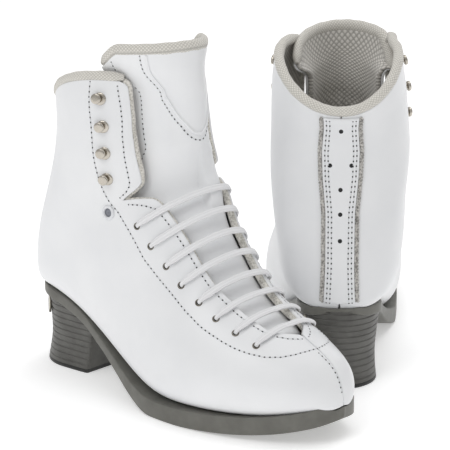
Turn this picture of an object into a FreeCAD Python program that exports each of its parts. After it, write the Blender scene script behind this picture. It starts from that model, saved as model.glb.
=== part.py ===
import FreeCAD, Part
import math
import os

# A pair of lace-up figure skating boots without blades. Millimetres, +Z up, floor at z = 0.
# Each boot is drawn once in its own frame: x from heel to toe, y to the inner side, z up.
# The left boot is the mirror image of the right one.

V = FreeCAD.Vector

# ---- driving dimensions -------------------------------------------------------------------
RIGHT_BOOT_AT = (-120.15, 8.1, -44.3)     # x, y, heading in degrees
LEFT_BOOT_AT = (78.05, -83.8, 88.0)
LEATHER = 2.2                             # upper leather
GAP = 0.15                                # air between two layers of one boot
PAD_GAP = 0.35                            # air either side of the padding layer
PADDING = 1.4                             # foam, toe box and heel counter layer
LINING = 1.2
LACE_RADIUS = 1.3
LACE_ROOM = 3.6                           # space for the lace between lining and tongue
TONGUE_LEATHER = 1.8
TONGUE_PAD = 3.6
WELT = 0.9                                # how far the sole stands out past the upper
FOREFOOT_SOLE = 7.7
TREAD_LIFT = 0.05                         # the tread stays this far above the heel base
WAIST_SOLE = 2.6
LIFT_HEIGHT = 2.6
INSOLE_HEIGHT = 5.8                       # insole board above the upper's underside
HEEL_FRONT_X = 56.4
RIB_PITCH = 4.4
RIB_DEPTH = 0.45
EYELET_HOLE = 2.3                         # hole radius in the leather
HOOK_HOLE = 1.8
EYELET_BORE = 1.9
EYELET_RIM = 3.2
TONGUE_HINGE_K = 10.3                     # station where the tongue bends
TOP_STATION = 17.0

# Stations from the toe tip (0) under the foot, round the heel and up the shaft (17):
# bottom x, z; front x, z; bottom y, front y; outer and inner half width;
# height share of the widest point; fullness of the bottom and of the front.
STATIONS = [
    (269.5, 25.0, 269.5, 25.0, 8.0, 8.0, 0.0, 0.0, 0.42, 0.88, 0.60),
    (265.0, 21.5, 265.0, 44.0, 8.0, 8.0, 17.2, 15.0, 0.42, 0.88, 0.60),
    (252.0, 17.5, 254.5, 55.0, 7.5, 7.5, 31.0, 25.5, 0.42, 0.90, 0.60),
    (232.0, 13.0, 240.0, 63.0, 6.5, 6.5, 42.0, 33.5, 0.40, 0.92, 0.60),
    (206.0, 9.8, 223.0, 71.5, 4.0, 5.0, 50.3, 40.0, 0.38, 0.92, 0.60),
    (175.0, 8.0, 205.0, 81.0, 1.0, 3.5, 54.5, 44.5, 0.36, 0.92, 0.62),
    (141.0, 8.5, 190.0, 93.0, -1.0, 2.0, 53.0, 45.0, 0.36, 0.90, 0.66),
    (108.5, 18.5, 177.5, 109.0, -1.5, 1.0, 48.5, 43.0, 0.38, 0.88, 0.70),
    (77.5, 34.0, 167.0, 126.5, -1.0, 0.5, 45.5, 41.7, 0.38, 0.86, 0.72),
    (46.5, 47.0, 156.0, 143.0, 0.0, 0.0, 45.0, 42.0, 0.42, 0.86, 0.72),
    (19.0, 53.5, 144.0, 157.5, 0.0, 0.0, 44.5, 43.0, 0.46, 0.86, 0.70),
    (5.0, 60.0, 134.0, 171.5, 0.0, 0.0, 44.8, 45.0, 0.48, 0.80, 0.68),
    (7.0, 87.5, 126.5, 184.5, 0.0, 0.0, 48.0, 46.0, 0.50, 0.70, 0.66),
    (15.5, 116.5, 121.5, 196.0, 0.0, 0.0, 48.8, 48.0, 0.51, 0.64, 0.64),
    (25.0, 145.5, 119.5, 206.0, 0.0, 0.0, 48.5, 46.8, 0.51, 0.63, 0.62),
    (29.5, 174.0, 119.0, 213.0, 0.0, 0.0, 48.3, 45.4, 0.51, 0.62, 0.60),
    (27.5, 202.0, 120.0, 217.5, 0.0, 0.0, 47.4, 43.2, 0.51, 0.62, 0.58),
    (22.0, 231.5, 121.5, 221.0, 0.0, 0.0, 45.0, 41.0, 0.51, 0.62, 0.58),
]
LACE_EYELETS = [(3.95, 1.593), (4.72, 1.596), (5.53, 1.587), (6.32, 1.555),
                (7.11, 1.490), (7.87, 1.446), (8.65, 1.410), (9.45, 1.392)]
TOP_EYELET = (10.55, 1.268)
HOOKS = [(11.68, 1.335), (12.71, 1.345), (14.04, 1.319), (15.75, 1.273)]
THROAT_EDGE = [(3.3, 1.992), (3.5, 1.95), (3.75, 1.86), (4.1, 1.80), (5.0, 1.785), (5.8, 1.775),
               (6.5, 1.735), (7.2, 1.705), (8.0, 1.68), (9.0, 1.645), (10.0, 1.60), (10.6, 1.575),
               (11.4, 1.585), (12.5, 1.60), (13.75, 1.60), (15.0, 1.58), (16.5, 1.53), (17.0, 1.50)]
NOTCH = [(10.61, 1.39), (9.97, 1.62), (10.82, 1.62)]
SIDES = (-1, 1)                           # outer side, inner side


# ---- the upper's surface --------------------------------------------------------------------
def second_slopes(values, clamped):
    """Natural cubic spline; clamped gives zero slope at the first station."""
    n = len(values) - 1
    lower, diag, upper, rhs = [0.0] * (n + 1), [1.0] * (n + 1), [0.0] * (n + 1), [0.0] * (n + 1)
    if clamped:
        diag[0], upper[0], rhs[0] = 2.0, 1.0, 6.0 * (values[1] - values[0])
    for i in range(1, n):
        lower[i], diag[i], upper[i] = 1.0, 4.0, 1.0
        rhs[i] = 6.0 * (values[i + 1] - 2.0 * values[i] + values[i - 1])
    for i in range(1, n + 1):
        ratio = lower[i] / diag[i - 1]
        diag[i] -= ratio * upper[i - 1]
        rhs[i] -= ratio * rhs[i - 1]
    out = [0.0] * (n + 1)
    out[n] = rhs[n] / diag[n]
    for i in range(n - 1, -1, -1):
        out[i] = (rhs[i] - upper[i] * out[i + 1]) / diag[i]
    return out


COLUMNS = list(zip(*STATIONS))
SLOPES = [second_slopes(column, index in (0, 2)) for index, column in enumerate(COLUMNS)]


def station(k):
    i = min(len(STATIONS) - 2, max(0, int(k)))
    f = k - i
    g = 1.0 - f
    return [g * c[i] + f * c[i + 1] + ((g ** 3 - g) * s[i] + (f ** 3 - f) * s[i + 1]) / 6.0
            for c, s in zip(COLUMNS, SLOPES)]


def skin(k, v, side):
    """Point on the upper's outer surface: v 0 bottom or back, 1 widest, 2 top or front."""
    xb, zb, xf, zf, yb, yf, outer, inner, share, low, high = station(k)
    width = outer if side < 0 else inner
    u = v if v <= 1.0 else v - 1.0
    g = 1.0 - u
    c0, c1, c2, c3 = g ** 3, 3 * g * g * u, 3 * g * u * u, u ** 3
    if v <= 1.0:
        rise = c2 * share * 0.4 + c3 * share
        spread = c1 * low + c2 + c3
    else:
        rise = c0 * share + c1 * (share + (1 - share) * 0.56) + c2 + c3
        spread = c0 + c1 + c2 * high
    return V(xb + (xf - xb) * rise, yb + (yf - yb) * rise + side * width * spread,
             zb + (zf - zb) * rise)


def outward(k, v, side):
    step = 0.01
    along = skin(min(17.0, k + step), v, side) - skin(max(0.0, k - step), v, side)
    across = skin(k, min(2.0, v + step), side) - skin(k, max(0.0, v - step), side)
    normal = along.cross(across)
    return (normal * side).normalize()


def at(k, v, side, height=0.0):
    return skin(k, v, side) + outward(k, v, side) * height


def smooth(x):
    x = min(1.0, max(0.0, x))
    return x * x * (3.0 - 2.0 * x)


def table(pairs, x):
    if x <= pairs[0][0]:
        return pairs[0][1]
    for (x0, y0), (x1, y1) in zip(pairs, pairs[1:]):
        if x <= x1:
            return y0 + (y1 - y0) * (x - x0) / (x1 - x0)
    return pairs[-1][1]


def collar_station(v):
    """The top edge dips at the back of the leg."""
    return TOP_STATION - 1.48 * (1.0 - smooth(v / 1.51))


def bottom_edge(k):
    return 0.30 - 0.296 * smooth((k - 9.0) / 2.0)


def throat_edge(k):
    return table(THROAT_EDGE, k)


def pad_share(k, v):
    """Padding fades out before the eyelets so that the facing is thin; the toe box does not."""
    facing = smooth((v - 1.06) / 0.16) * smooth((k - 2.95) / 0.6)
    return 1.0 - facing


def lining_depth(k, v):
    return LEATHER + GAP + (PADDING + 2 * PAD_GAP - GAP) * pad_share(k, v)


# ---- solids from point grids ----------------------------------------------------------------
def sheet(grid):
    surface = Part.BSplineSurface()
    surface.interpolate(grid)
    return surface.toShape()


def grid_solid(outer, inner):
    """Closed solid between two point grids of the same size."""
    front, back = sheet(outer), sheet(inner)
    faces = [front, back]
    for a, b in zip(front.Edges, back.Edges):
        faces.append(Part.makeRuledSurface(a, b))
    shell = Part.makeShell(faces)
    shell.sewShape()
    solid = Part.makeSolid(shell)
    if solid.Volume < 0:
        solid.reverse()
    return solid


def spread(start, end, count):
    return [start + (end - start) * i / (count - 1) for i in range(count)]


UPPER_KS = [0.03, 0.15, 0.35, 0.65, 1.0, 1.5, 2.0, 2.5, 2.95, 3.3, 3.5, 3.75, 4.0, 4.4, 5.0, 5.6,
            6.2, 6.9, 7.6, 8.3, 8.9, 9.3, 9.7, 10.1, 10.5, 10.9, 11.3, 11.8, 12.5, 13.3, 14.1,
            14.9, 15.6, 16.3, 17.0]


def strip(side, ks, low, high, top_depth, under_depth, columns=17, collar=0.0):
    """A layer of the upper between two edges given as functions of the station."""
    outer, inner = [], []
    for k in ks:
        row_out, row_in = [], []
        for q in spread(0.0, 1.0, columns):
            v = low(k) + (high(k) - low(k)) * q
            kk = k
            if k > 11.0:
                kk = 11.0 + (k - 11.0) * (collar_station(v) - collar - 11.0) / (TOP_STATION - 11.0)
            row_out.append(at(kk, v, side, -top_depth(kk, v)))
            row_in.append(at(kk, v, side, -under_depth(kk, v)))
        outer.append(row_out)
        inner.append(row_in)
    return grid_solid(outer, inner)


def flat(depth):
    return lambda k, v: depth


def between(first, last):
    inside = [k for k in UPPER_KS if first + 0.12 < k < last - 0.12]
    return [first] + inside + [last]


def cylinder(point, direction, radius, length, back=0.0):
    return Part.makeCylinder(radius, length + back, point - direction * back, direction)


def notch_tool(side):
    normal = outward(NOTCH[0][0], 1.5, side)
    corners = [at(k, v, side) - normal * 14 for k, v in NOTCH]
    face = Part.Face(Part.makePolygon(corners + corners[:1]))
    return face.extrude(normal * 28)


def hole_tools(side, positions, radius):
    tools = []
    for k, v in positions:
        tools.append(cylinder(at(k, v, side), outward(k, v, side), radius, 6.0, 10.0))
    return tools


def all_cut(shape, tools):
    for tool in tools:
        shape = shape.cut(tool)
    return shape.Solids[0] if len(shape.Solids) == 1 else biggest(shape)


def biggest(shape):
    return max(shape.Solids, key=lambda s: s.Volume)


def fitting_holes(side):
    """Tools for the holes that the eyelets and hooks go through."""
    return (hole_tools(side, LACE_EYELETS, EYELET_HOLE) + hole_tools(side, [TOP_EYELET], 3.1)
            + hole_tools(side, HOOKS, HOOK_HOLE))


def quarter(side):
    body = strip(side, UPPER_KS, bottom_edge, throat_edge, flat(0.0), flat(LEATHER), 21)
    return all_cut(body, fitting_holes(side) + [notch_tool(side)])


def lining(side):
    body = strip(side, UPPER_KS, lambda k: bottom_edge(k) - 0.02 * smooth((9.0 - k) / 0.5),
                 throat_edge, lining_depth,
                 lambda k, v: lining_depth(k, v) + LINING, 21, 0.03)
    return all_cut(body, fitting_holes(side) + [notch_tool(side)])


def padding(side):
    """Foam along the foot and round the ankle; the heel counter lies between the two."""
    depth = LEATHER + PAD_GAP
    foot = strip(side, between(3.15, 10.7), bottom_edge, lambda k: 0.97, flat(depth),
                 flat(depth + PADDING), 17)
    ankle = strip(side, between(12.75, 17.0), bottom_edge, lambda k: 0.97, flat(depth),
                  flat(depth + PADDING), 17, 0.06)
    return Part.makeCompound([foot, ankle])


def toe_box(side):
    depth = LEATHER + PAD_GAP
    return strip(side, between(0.05, 2.9), bottom_edge, lambda k: 1.99, flat(depth),
                 flat(depth + PADDING), 15)


def counter(side):
    depth = LEATHER + PAD_GAP
    return strip(side, [11.15, 11.35, 11.6, 11.9, 12.2, 12.5],
                 lambda k: bottom_edge(k) + 0.004, lambda k: 0.88, flat(depth),
                 flat(depth + PADDING), 13)


# ---- backstay --------------------------------------------------------------------------------
BACK_KS = [11.15, 11.4, 11.8, 12.3, 12.8, 13.3, 13.8, 14.3, 14.8, 15.15, 15.47]


def v_for_spread(k, distance, side):
    """The surface parameter whose sideways distance from the back seam is given."""
    low, high = 0.0, 1.0
    for _ in range(30):
        mid = (low + high) / 2
        if abs(skin(k, mid, side).y) < distance:
            low = mid
        else:
            high = mid
    return low


def back_strip(inner_edge, outer_edge, low, high):
    """A strip over the back of the leg, lifted off the quarters by low..high."""
    outer, inner = [], []
    for k in BACK_KS:
        row_out, row_in = [], []
        for q in spread(inner_edge(k), outer_edge(k), 9):
            side = -1 if q < 0 else 1
            v = v_for_spread(k, abs(q), side)
            row_out.append(at(k, v, side, high))
            row_in.append(at(k, v, side, low))
        outer.append(row_out)
        inner.append(row_in)
    return grid_solid(outer, inner)


def stay_width(k):
    return table([(11.0, 10.8), (12.0, 9.8), (13.2, 10.0), (14.0, 12.2), (14.6, 12.8),
                  (15.2, 11.6), (16.0, 13.0)], k)


BACKSTAY_HOLES = [(15.15, 0.0), (14.3, -8.6), (14.3, 8.6), (13.75, 0.0), (13.2, 0.0), (12.6, 0.0)]


def backstay():
    body = back_strip(lambda k: -stay_width(k), stay_width, 0.1, 1.5)
    tools = []
    for k, y in BACKSTAY_HOLES:
        side = -1 if y < 0 else 1
        v = v_for_spread(k, abs(y), side)
        tools.append(cylinder(at(k, v, side), outward(k, v, side), 1.6, 5.0, 3.0))
    return all_cut(body, tools)


def backstay_trim():
    width = 2.6
    left = back_strip(lambda k: -stay_width(k) - 0.2 - width, lambda k: -stay_width(k) - 0.2, 0.1, 1.3)
    right = back_strip(lambda k: stay_width(k) + 0.2, lambda k: stay_width(k) + 0.2 + width, 0.1, 1.3)
    return Part.makeCompound([left, right])


# ---- sole and heel ---------------------------------------------------------------------------
def bottom_z(x):
    """Height of the upper's underside at a distance from the heel."""
    low, high = 0.0, 11.0
    for _ in range(30):
        mid = (low + high) / 2
        if station(mid)[0] > x:
            low = mid
        else:
            high = mid
    return station(low)[1], low


def sole_thickness(x):
    return WAIST_SOLE + (FOREFOOT_SOLE - WAIST_SOLE) * smooth((x - 84.0) / 62.0)


SOLE_TIP_X = 270.0
SOLE_HEEL_X = 3.2


def sole_half_width(x, side):
    k = bottom_z(min(269.4, max(5.3, x)))[1]
    values = station(k)
    width = values[6] if side < 0 else values[7]
    share = table([(0, 0.97), (3, 0.945), (6, 0.93), (7.2, 0.80), (8.6, 0.66), (9.5, 0.66)], k)
    width = width * share + WELT
    heel = 29.5
    round_back = heel * math.sqrt(max(0.0, 1 - ((SOLE_HEEL_X + 27.0 - x) / 27.0) ** 2)) if x < 30.2 else heel
    blend = smooth((x - 40.0) / 40.0)
    return round_back * (1 - blend) + width * blend


def toe_round(x):
    """Closes the outline at the toe as a round end."""
    reach = SOLE_TIP_X - x
    return math.sqrt(max(0.0, 1 - (1 - reach / 9.0) ** 2)) if reach < 9.0 else 1.0


def leather_floor(x, y):
    """Height of the upper's underside above a point of the sole."""
    side = -1 if y < 0 else 1
    z, k = bottom_z(min(269.4, max(5.3, x)))
    for _ in range(4):
        v = 0.5
        low, high = 0.0, 0.9
        for _ in range(22):
            v = (low + high) / 2
            if (skin(k, v, side).y - y) * side < 0:
                low = v
            else:
                high = v
        point = skin(k, v, side)
        k = min(10.9, max(0.05, k + (point.x - x) / 30.0))
    return point.z


def outsole():
    rows_top, rows_bottom = [], []
    angles = spread(0.06, math.pi - 0.06, 44)
    for angle in angles:
        x = (SOLE_TIP_X + SOLE_HEEL_X) / 2 + (SOLE_TIP_X - SOLE_HEEL_X) / 2 * math.cos(angle)
        z = bottom_z(min(269.4, max(5.3, x)))[0]
        centre = station(bottom_z(min(269.4, max(5.3, x)))[1])[4]
        close = toe_round(x)
        top, bottom = [], []
        for q in spread(-1.0, 1.0, 15):
            half = sole_half_width(x, -1 if q < 0 else 1) * close
            y = centre + q * half
            cup = min(leather_floor(x, y), z + 5.0)
            top.append(V(x, y, max(z, cup) - GAP))
            bottom.append(V(x, y, max(TREAD_LIFT, z - GAP - sole_thickness(x))))
        rows_top.append(top)
        rows_bottom.append(bottom)
    return grid_solid(rows_top, rows_bottom)


def heel_outline(z, inset):
    """D-shaped outline of the heel at a height; inset forms the ribs on the back and sides."""
    share = z / 56.0
    back = table([(0.0, 3.6), (8.0, 5.4), (20.0, 7.6), (34.0, 7.6), (46.0, 5.6), (62.0, 4.0)], z)
    front = HEEL_FRONT_X + 5.0 * share + 6.0 * share * share
    half = table([(0.0, 26.8), (8.0, 25.6), (22.0, 25.2), (38.0, 26.8), (62.0, 29.2)], z)
    back += inset
    half -= inset
    nose = half * 1.02
    points = [V(front, -half + 2.2, z)]
    for angle in spread(-90.0, 90.0, 15):
        a = math.radians(angle)
        points.append(V(back + nose - nose * math.cos(a), half * math.sin(a), z))
    points.append(V(front, half - 2.2, z))
    curve = Part.BSplineCurve()
    curve.interpolate(points)
    breast = Part.LineSegment(points[-1], points[0]).toShape()
    return Part.Wire([curve.toShape(), breast])


def seat_tool():
    """Everything above the sole's underside, as a block over the heel."""
    points = []
    for x in spread(-12.0, 90.0, 24):
        safe = max(5.3, x)
        points.append(V(x, -60, bottom_z(safe)[0] - 5 * GAP - sole_thickness(x)))
    curve = Part.BSplineCurve()
    curve.interpolate(points)
    edges = [curve.toShape(), Part.makeLine(points[-1], V(90, -60, 120)),
             Part.makeLine(V(90, -60, 120), V(-12, -60, 120)), Part.makeLine(V(-12, -60, 120), points[0])]
    return Part.Face(Part.Wire(edges)).extrude(V(0, 120, 0))


def heel_block():
    wires = []
    z = LIFT_HEIGHT + GAP
    wires.append(heel_outline(z, 0.0))
    z += 2.6
    while z < 52.0:
        wires.append(heel_outline(z, 0.0))
        wires.append(heel_outline(z + 0.35, RIB_DEPTH))
        wires.append(heel_outline(z + 0.95, RIB_DEPTH))
        wires.append(heel_outline(z + 1.3, 0.0))
        z += RIB_PITCH
    wires.append(heel_outline(64.0, 0.0))
    body = Part.makeLoft(wires, True, True)
    return biggest(body.cut(seat_tool()))


def heel_lift():
    wires = [heel_outline(0.0, 0.3), heel_outline(0.4, 0.0), heel_outline(LIFT_HEIGHT, 0.0)]
    return Part.makeLoft(wires, True, True)


def heel_badge():
    """Plain oval nail cover on the outer back of the heel."""
    z = 43.0
    angle = math.radians(-58.0)
    half = 27.0
    back = 6.2
    point = V(back + half - half * math.cos(angle), half * math.sin(angle), z)
    direction = V(-math.cos(angle), math.sin(angle), 0.02).normalize()
    side = direction.cross(V(0, 0, 1)).normalize()
    ellipse = Part.Ellipse(point + direction * 0.9 + side * 7.0, point + direction * 0.9 + V(0, 0, 3.0),
                           point + direction * 0.9)
    face = Part.Face(Part.Wire(ellipse.toShape()))
    return face.extrude(direction * 1.2)


# ---- inside the sole -------------------------------------------------------------------------
def sole_place(x):
    """Height and middle line of the upper's underside at a distance from the heel."""
    z, k = bottom_z(min(269.4, max(5.3, x)))
    return z, station(k)[4]


def room_inside(side, height, clearance):
    """(x, half width) pairs free between the linings at a height above the underside."""
    line = []
    for k in spread(0.7, 10.9, 52):
        v = 0.95
        while v > bottom_edge(k) - 0.02:
            point = at(k, v, side, -(lining_depth(k, v) + LINING))
            z, middle = sole_place(point.x)
            if point.z < z + height:
                break
            v -= 0.01
        line.append((point.x, abs(point.y - middle) - clearance))
    return sorted(line)


def round_ends(x, x0, x1, radius):
    near, far = (x - x0) / radius, (x1 - x) / radius
    share = 1.0
    if near < 1.0:
        share = math.sqrt(max(0.0, 1 - (1 - near) ** 2))
    if far < 1.0:
        share = min(share, math.sqrt(max(0.0, 1 - (1 - far) ** 2)))
    return max(0.05, share)


def floor_plate(x0, x1, low, high, clearance, rows=34):
    """A plate inside the upper, following the sole's curve and the lining's width."""
    sheets = []
    for height in (high, low):
        room = {side: room_inside(side, height, clearance) for side in SIDES}
        rows_here = []
        for x in spread(x0, x1, rows):
            z, middle = sole_place(x)
            close = round_ends(x, x0 - 1.0, x1 + 1.0, 24.0)
            waist = 2.6 * smooth(1.0 - abs(x - 88.0) / 50.0)
            row = []
            for q in spread(-1.0, 1.0, 9):
                half = (table(room[-1 if q < 0 else 1], x) - waist) * close
                row.append(V(x, middle + q * half, z + height))
            rows_here.append(row)
        sheets.append(rows_here)
    return grid_solid(*sheets)


def insole_board():
    return floor_plate(17.0, 255.0, INSOLE_HEIGHT, INSOLE_HEIGHT + 2.0, 1.1)


def shank():
    """Spring steel strip under the arch, between the sole and the insole board."""
    top, bottom = [], []
    for x in spread(30.0, 138.0, 16):
        z, middle = sole_place(x)
        top.append([V(x, middle + q * 6.5, z + 1.9) for q in spread(-1.0, 1.0, 5)])
        bottom.append([V(x, middle + q * 6.5, z + 0.4) for q in spread(-1.0, 1.0, 5)])
    return grid_solid(top, bottom)


def footbed():
    return floor_plate(19.0, 252.0, INSOLE_HEIGHT + 3.6, INSOLE_HEIGHT + 7.0, 1.2)


# ---- tongue ----------------------------------------------------------------------------------
TONGUE_LINE = [(10.0, 146.5, 160.0), (11.0, 140.0, 178.0), (12.0, 139.0, 193.0), (13.5, 139.5, 209.0),
               (15.0, 140.5, 224.0), (17.0, 141.5, 252.0)]
TONGUE_TOP_K = 17.0
TONGUE_THROAT = LEATHER + GAP + LINING + LACE_ROOM


def tongue_centre(k):
    return table([(a, b) for a, b, c in TONGUE_LINE], k), table([(a, c) for a, b, c in TONGUE_LINE], k)


def tongue_span(k):
    """Edge parameter of the tongue under the quarters."""
    return table([(3.9, 1.80), (4.6, 1.62), (5.5, 1.46), (7.0, 1.34), (9.0, 1.28), (10.3, 1.28)], k)


def cuff_tongue(k, share, side):
    """The tongue's upper part: a deep half oval round the shin."""
    x, z = tongue_centre(k)
    tight = 0.955 if side < 0 else 0.855
    tuck = table([(10.3, 1.0), (11.0, tight), (15.0, tight), (17.0, 1.0)], k)
    width = tuck * table([(10.0, 30.0), (12.0, 29.0), (15.0, 29.5), (16.0, 33.0), (17.0, 36.5)], k)
    depth = table([(10.0, 42.0), (12.0, 48.0), (15.0, 52.0), (17.0, 54.0)], k)
    angle = math.radians(82.0) * share
    back = depth * (1 - math.cos(angle))
    return V(x - back, side * width * math.sin(angle), z - back * 0.12)


def tongue_point(k, share, side, depth):
    """share 0 at the middle of the tongue and 1 at its edge."""
    v = 2.0 - (2.0 - tongue_span(k)) * share
    low = at(min(k, 12.0), v, side, -TONGUE_THROAT - depth)
    if k < 9.6:
        return low
    high = cuff_tongue(k, share, side)
    eps = 0.02
    kk = min(16.97, max(10.03, k))
    du = cuff_tongue(kk, min(1.0, share + eps), side) - cuff_tongue(kk, max(0.0, share - eps), side)
    dk = cuff_tongue(kk + eps, share, side) - cuff_tongue(kk - eps, share, side)
    normal = du.cross(dk) * side
    high = high - normal.normalize() * depth
    blend = smooth((k - 9.6) / 1.6)
    return low * (1 - blend) + high * blend


def tongue_layer(ks, low_depth, high_depth, span=1.0, columns=19):
    outer, inner = [], []
    for k in ks:
        row_out, row_in = [], []
        for q in spread(-span, span, columns):
            side = -1 if q < 0 else 1
            row_out.append(tongue_point(k, abs(q), side, low_depth))
            row_in.append(tongue_point(k, abs(q), side, high_depth))
        outer.append(row_out)
        inner.append(row_in)
    return grid_solid(outer, inner)


LOWER_TONGUE_KS = [3.75, 4.2, 4.8, 5.5, 6.2, 7.0, 7.8, 8.6, 9.2, 9.7, 10.0, TONGUE_HINGE_K - 0.02]
UPPER_TONGUE_KS = [TONGUE_HINGE_K + 0.03, 10.6, 10.9, 11.2, 11.6, 12.1, 12.7, 13.4, 14.2, 15.0, 15.6,
                   16.2, 16.7, 17.0]


# ---- metal fittings --------------------------------------------------------------------------
def turned(profile, point, direction):
    """Solid of revolution from (radius, height) pairs, standing on a point of the surface."""
    corners = [V(r, 0, h) for r, h in profile]
    face = Part.Face(Part.makePolygon(corners + corners[:1]))
    solid = face.revolve(V(0, 0, 0), V(0, 0, 1), 360)
    if not isinstance(solid, Part.Solid):
        solid = Part.makeSolid(solid) if solid.ShapeType == "Shell" else solid.Solids[0]
    solid.Placement = FreeCAD.Placement(point, FreeCAD.Rotation(V(0, 0, 1), direction))
    return solid


def eyelet(position, side, bore, barrel, rim, seat):
    k, v = position
    under = -(lining_depth(k, v) + LINING) - 0.2
    profile = [(bore + 0.65, under - 0.3), (rim - 0.3, under - 0.3), (rim - 0.3, under),
               (barrel, under), (barrel, seat), (rim, seat), (rim, seat + 0.25), (rim - 0.5, seat + 0.45),
               (bore + 0.5, seat + 0.45), (bore, seat), (bore, under + 0.45)]
    return turned(profile, at(k, v, side), outward(k, v, side))


def hook(position, side):
    """Speed hook: flange, post and a round head leaning to the back of the boot."""
    k, v = position
    under = -(lining_depth(k, v) + LINING) - 0.2
    profile = [(0.0, under - 0.35), (3.2, under - 0.35), (3.2, under - 0.05), (1.45, under - 0.05),
               (1.45, 0.3), (4.4, 0.3), (4.4, 0.6), (3.4, 1.0), (1.7, 1.2), (1.5, 3.4),
               (0.0, 3.4)]
    base = turned(profile, at(k, v, side), outward(k, v, side))
    up = outward(k, v, side)
    along = (at(k, v + 0.05, side) - at(k, v - 0.05, side)).normalize()
    head_at = at(k, v, side, 3.3) + along * 1.1
    head = turned([(0.0, 0.0), (3.3, 0.0), (3.5, 0.4), (3.0, 1.1), (1.6, 1.6), (0.0, 1.7)], head_at, up)
    return base.fuse(head).removeSplitter()


def group(maker, positions, *extra):
    solids = []
    for side in SIDES:
        for position in positions:
            solid = maker(position, side, *extra)
            solids.append(solid.Solids[0])
    return Part.makeCompound(solids)


# ---- lace ------------------------------------------------------------------------------------
OVER = 2.3                                # lace centre above the leather at an eyelet
UNDER = 5.5                               # lace centre below it
BEND = 1.7                                # tightest bend, at an eyelet


def bar_points(index, first_side):
    """One bar over the tongue from eyelet to eyelet, as (point, bend radius)."""
    k, v = LACE_EYELETS[index]
    edge = throat_edge(k)
    points = []
    for side in (first_side, -first_side):
        eyelet_top = at(k, v, side, OVER)
        rim = at(k, min(edge, v + 0.11), side, 2.3)
        lip = at(k, min(1.9, edge + 0.05), side, 2.0)
        part = [(eyelet_top, BEND), (rim, 9.0), (lip, 22.0)]
        points += part if side == first_side else part[::-1]
    middle = (skin(k, 2.0, 1)) + outward(k, 1.999, 1) * 0.7
    return points[:3] + [(middle, 45.0)] + points[3:]


def lace_route():
    side = -1
    k0, v0 = LACE_EYELETS[0]
    route = [(at(k0 + 1.4, v0 - 0.16, side, -UNDER), 0.0), (at(k0 + 0.7, v0 - 0.15, side, -UNDER), 8.0),
             (at(k0, v0, side, -UNDER), BEND)]
    for index in range(len(LACE_EYELETS)):
        route += bar_points(index, side)
        side = -side
        k, v = LACE_EYELETS[index]
        route.append((at(k, v, side, -UNDER), BEND))
        if index + 1 < len(LACE_EYELETS):
            k1, v1 = LACE_EYELETS[index + 1]
            route.append((at((k + k1) / 2, (v + v1) / 2, side, -UNDER), 30.0))
            route.append((at(k1, v1, side, -UNDER), BEND))
    k, v = LACE_EYELETS[-1]
    route += [(at(k - 0.9, v - 0.16, side, -UNDER), 8.0), (at(k - 1.9, v - 0.15, side, -UNDER), 0.0)]
    return route


def rounded_path(route):
    """Straight runs joined by tangent arcs; returns the edges and the radii used."""
    edges, radii = [], []
    start = route[0][0]
    for index in range(1, len(route) - 1):
        before, corner, after = route[index - 1][0], route[index][0], route[index + 1][0]
        radius = route[index][1]
        a = (before - corner).normalize()
        b = (after - corner).normalize()
        angle = math.acos(max(-1.0, min(1.0, a.dot(b))))
        half_turn = (math.pi - angle) / 2
        if half_turn < 0.004:
            continue
        back_run = (corner - start).Length if not edges else (corner - edges[-1].Vertexes[-1].Point).Length
        room = min(back_run * 0.98, (after - corner).Length * 0.49)
        reach = min(radius * math.tan(half_turn), room)
        radius = reach / math.tan(half_turn)
        first, last = corner + a * reach, corner + b * reach
        toward = (a + b).normalize()
        centre = corner + toward * math.hypot(reach, radius)
        mid = centre - toward * radius
        if (first - start).Length > 1e-4:
            edges.append(Part.LineSegment(start, first).toShape())
        edges.append(Part.Arc(first, mid, last).toShape())
        radii.append(radius)
        start = last
    edges.append(Part.LineSegment(start, route[-1][0]).toShape())
    return edges, radii


def tube(edges, radius):
    wire = Part.Wire(edges)
    start = edges[0].Vertexes[0].Point
    direction = edges[0].tangentAt(edges[0].FirstParameter)
    circle = Part.Wire(Part.makeCircle(radius, start, direction))
    return wire, wire.makePipeShell([circle], True, False, 2)


def lace():
    edges, radii = rounded_path(lace_route())
    wire, solid = tube(edges, LACE_RADIUS)
    expected = math.pi * LACE_RADIUS ** 2 * wire.Length
    print("lace length %.1f volume %.1f of %.1f" % (wire.Length, solid.Volume, expected))
    print("lace radii", " ".join("%.1f" % r for r in radii))
    return solid.Solids[0]


def aglets():
    route = lace_route()
    ends = []
    for tip, before in ((route[0][0], route[1][0]), (route[-1][0], route[-2][0])):
        direction = (tip - before).normalize()
        ends.append(Part.makeCylinder(1.1, 12.0, tip + direction * 0.1, direction))
    return Part.makeCompound(ends)


# ---- collar ----------------------------------------------------------------------------------
def collar_roll():
    """Padded roll along the top edge, from one front corner round the back to the other."""
    outer_rows = []
    stops = [(-1, v) for v in (1.38, 1.34, 1.26, 1.15, 1.0, 0.85, 0.7, 0.55, 0.4, 0.25, 0.1)]
    stops += [(1, v) for v in (0.02, 0.1, 0.25, 0.4, 0.55, 0.7, 0.85, 1.0, 1.15, 1.26, 1.34, 1.38)]
    centres = []
    for side, v in stops:
        k = collar_station(v)
        inward = -outward(k, v, side)
        up = (skin(k, v, side) - skin(k - 0.2, v, side)).normalize()
        centres.append((skin(k, v, side) + inward * 2.9 + up * 3.2, inward, up))
    for index, (centre, inward, up) in enumerate(centres):
        swell = 0.45 if index in (0, len(centres) - 1) else 1.0
        row = []
        for angle in spread(0.0, 2 * math.pi, 13)[:-1]:
            row.append(centre + inward * (4.0 * swell * math.cos(angle)) + up * (3.0 * swell * math.sin(angle)))
        outer_rows.append(row)
    wires = []
    for row in outer_rows:
        curve = Part.BSplineCurve()
        curve.interpolate(row, True)
        wires.append(Part.Wire(curve.toShape()))
    return Part.makeLoft(wires, True, False)


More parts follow.
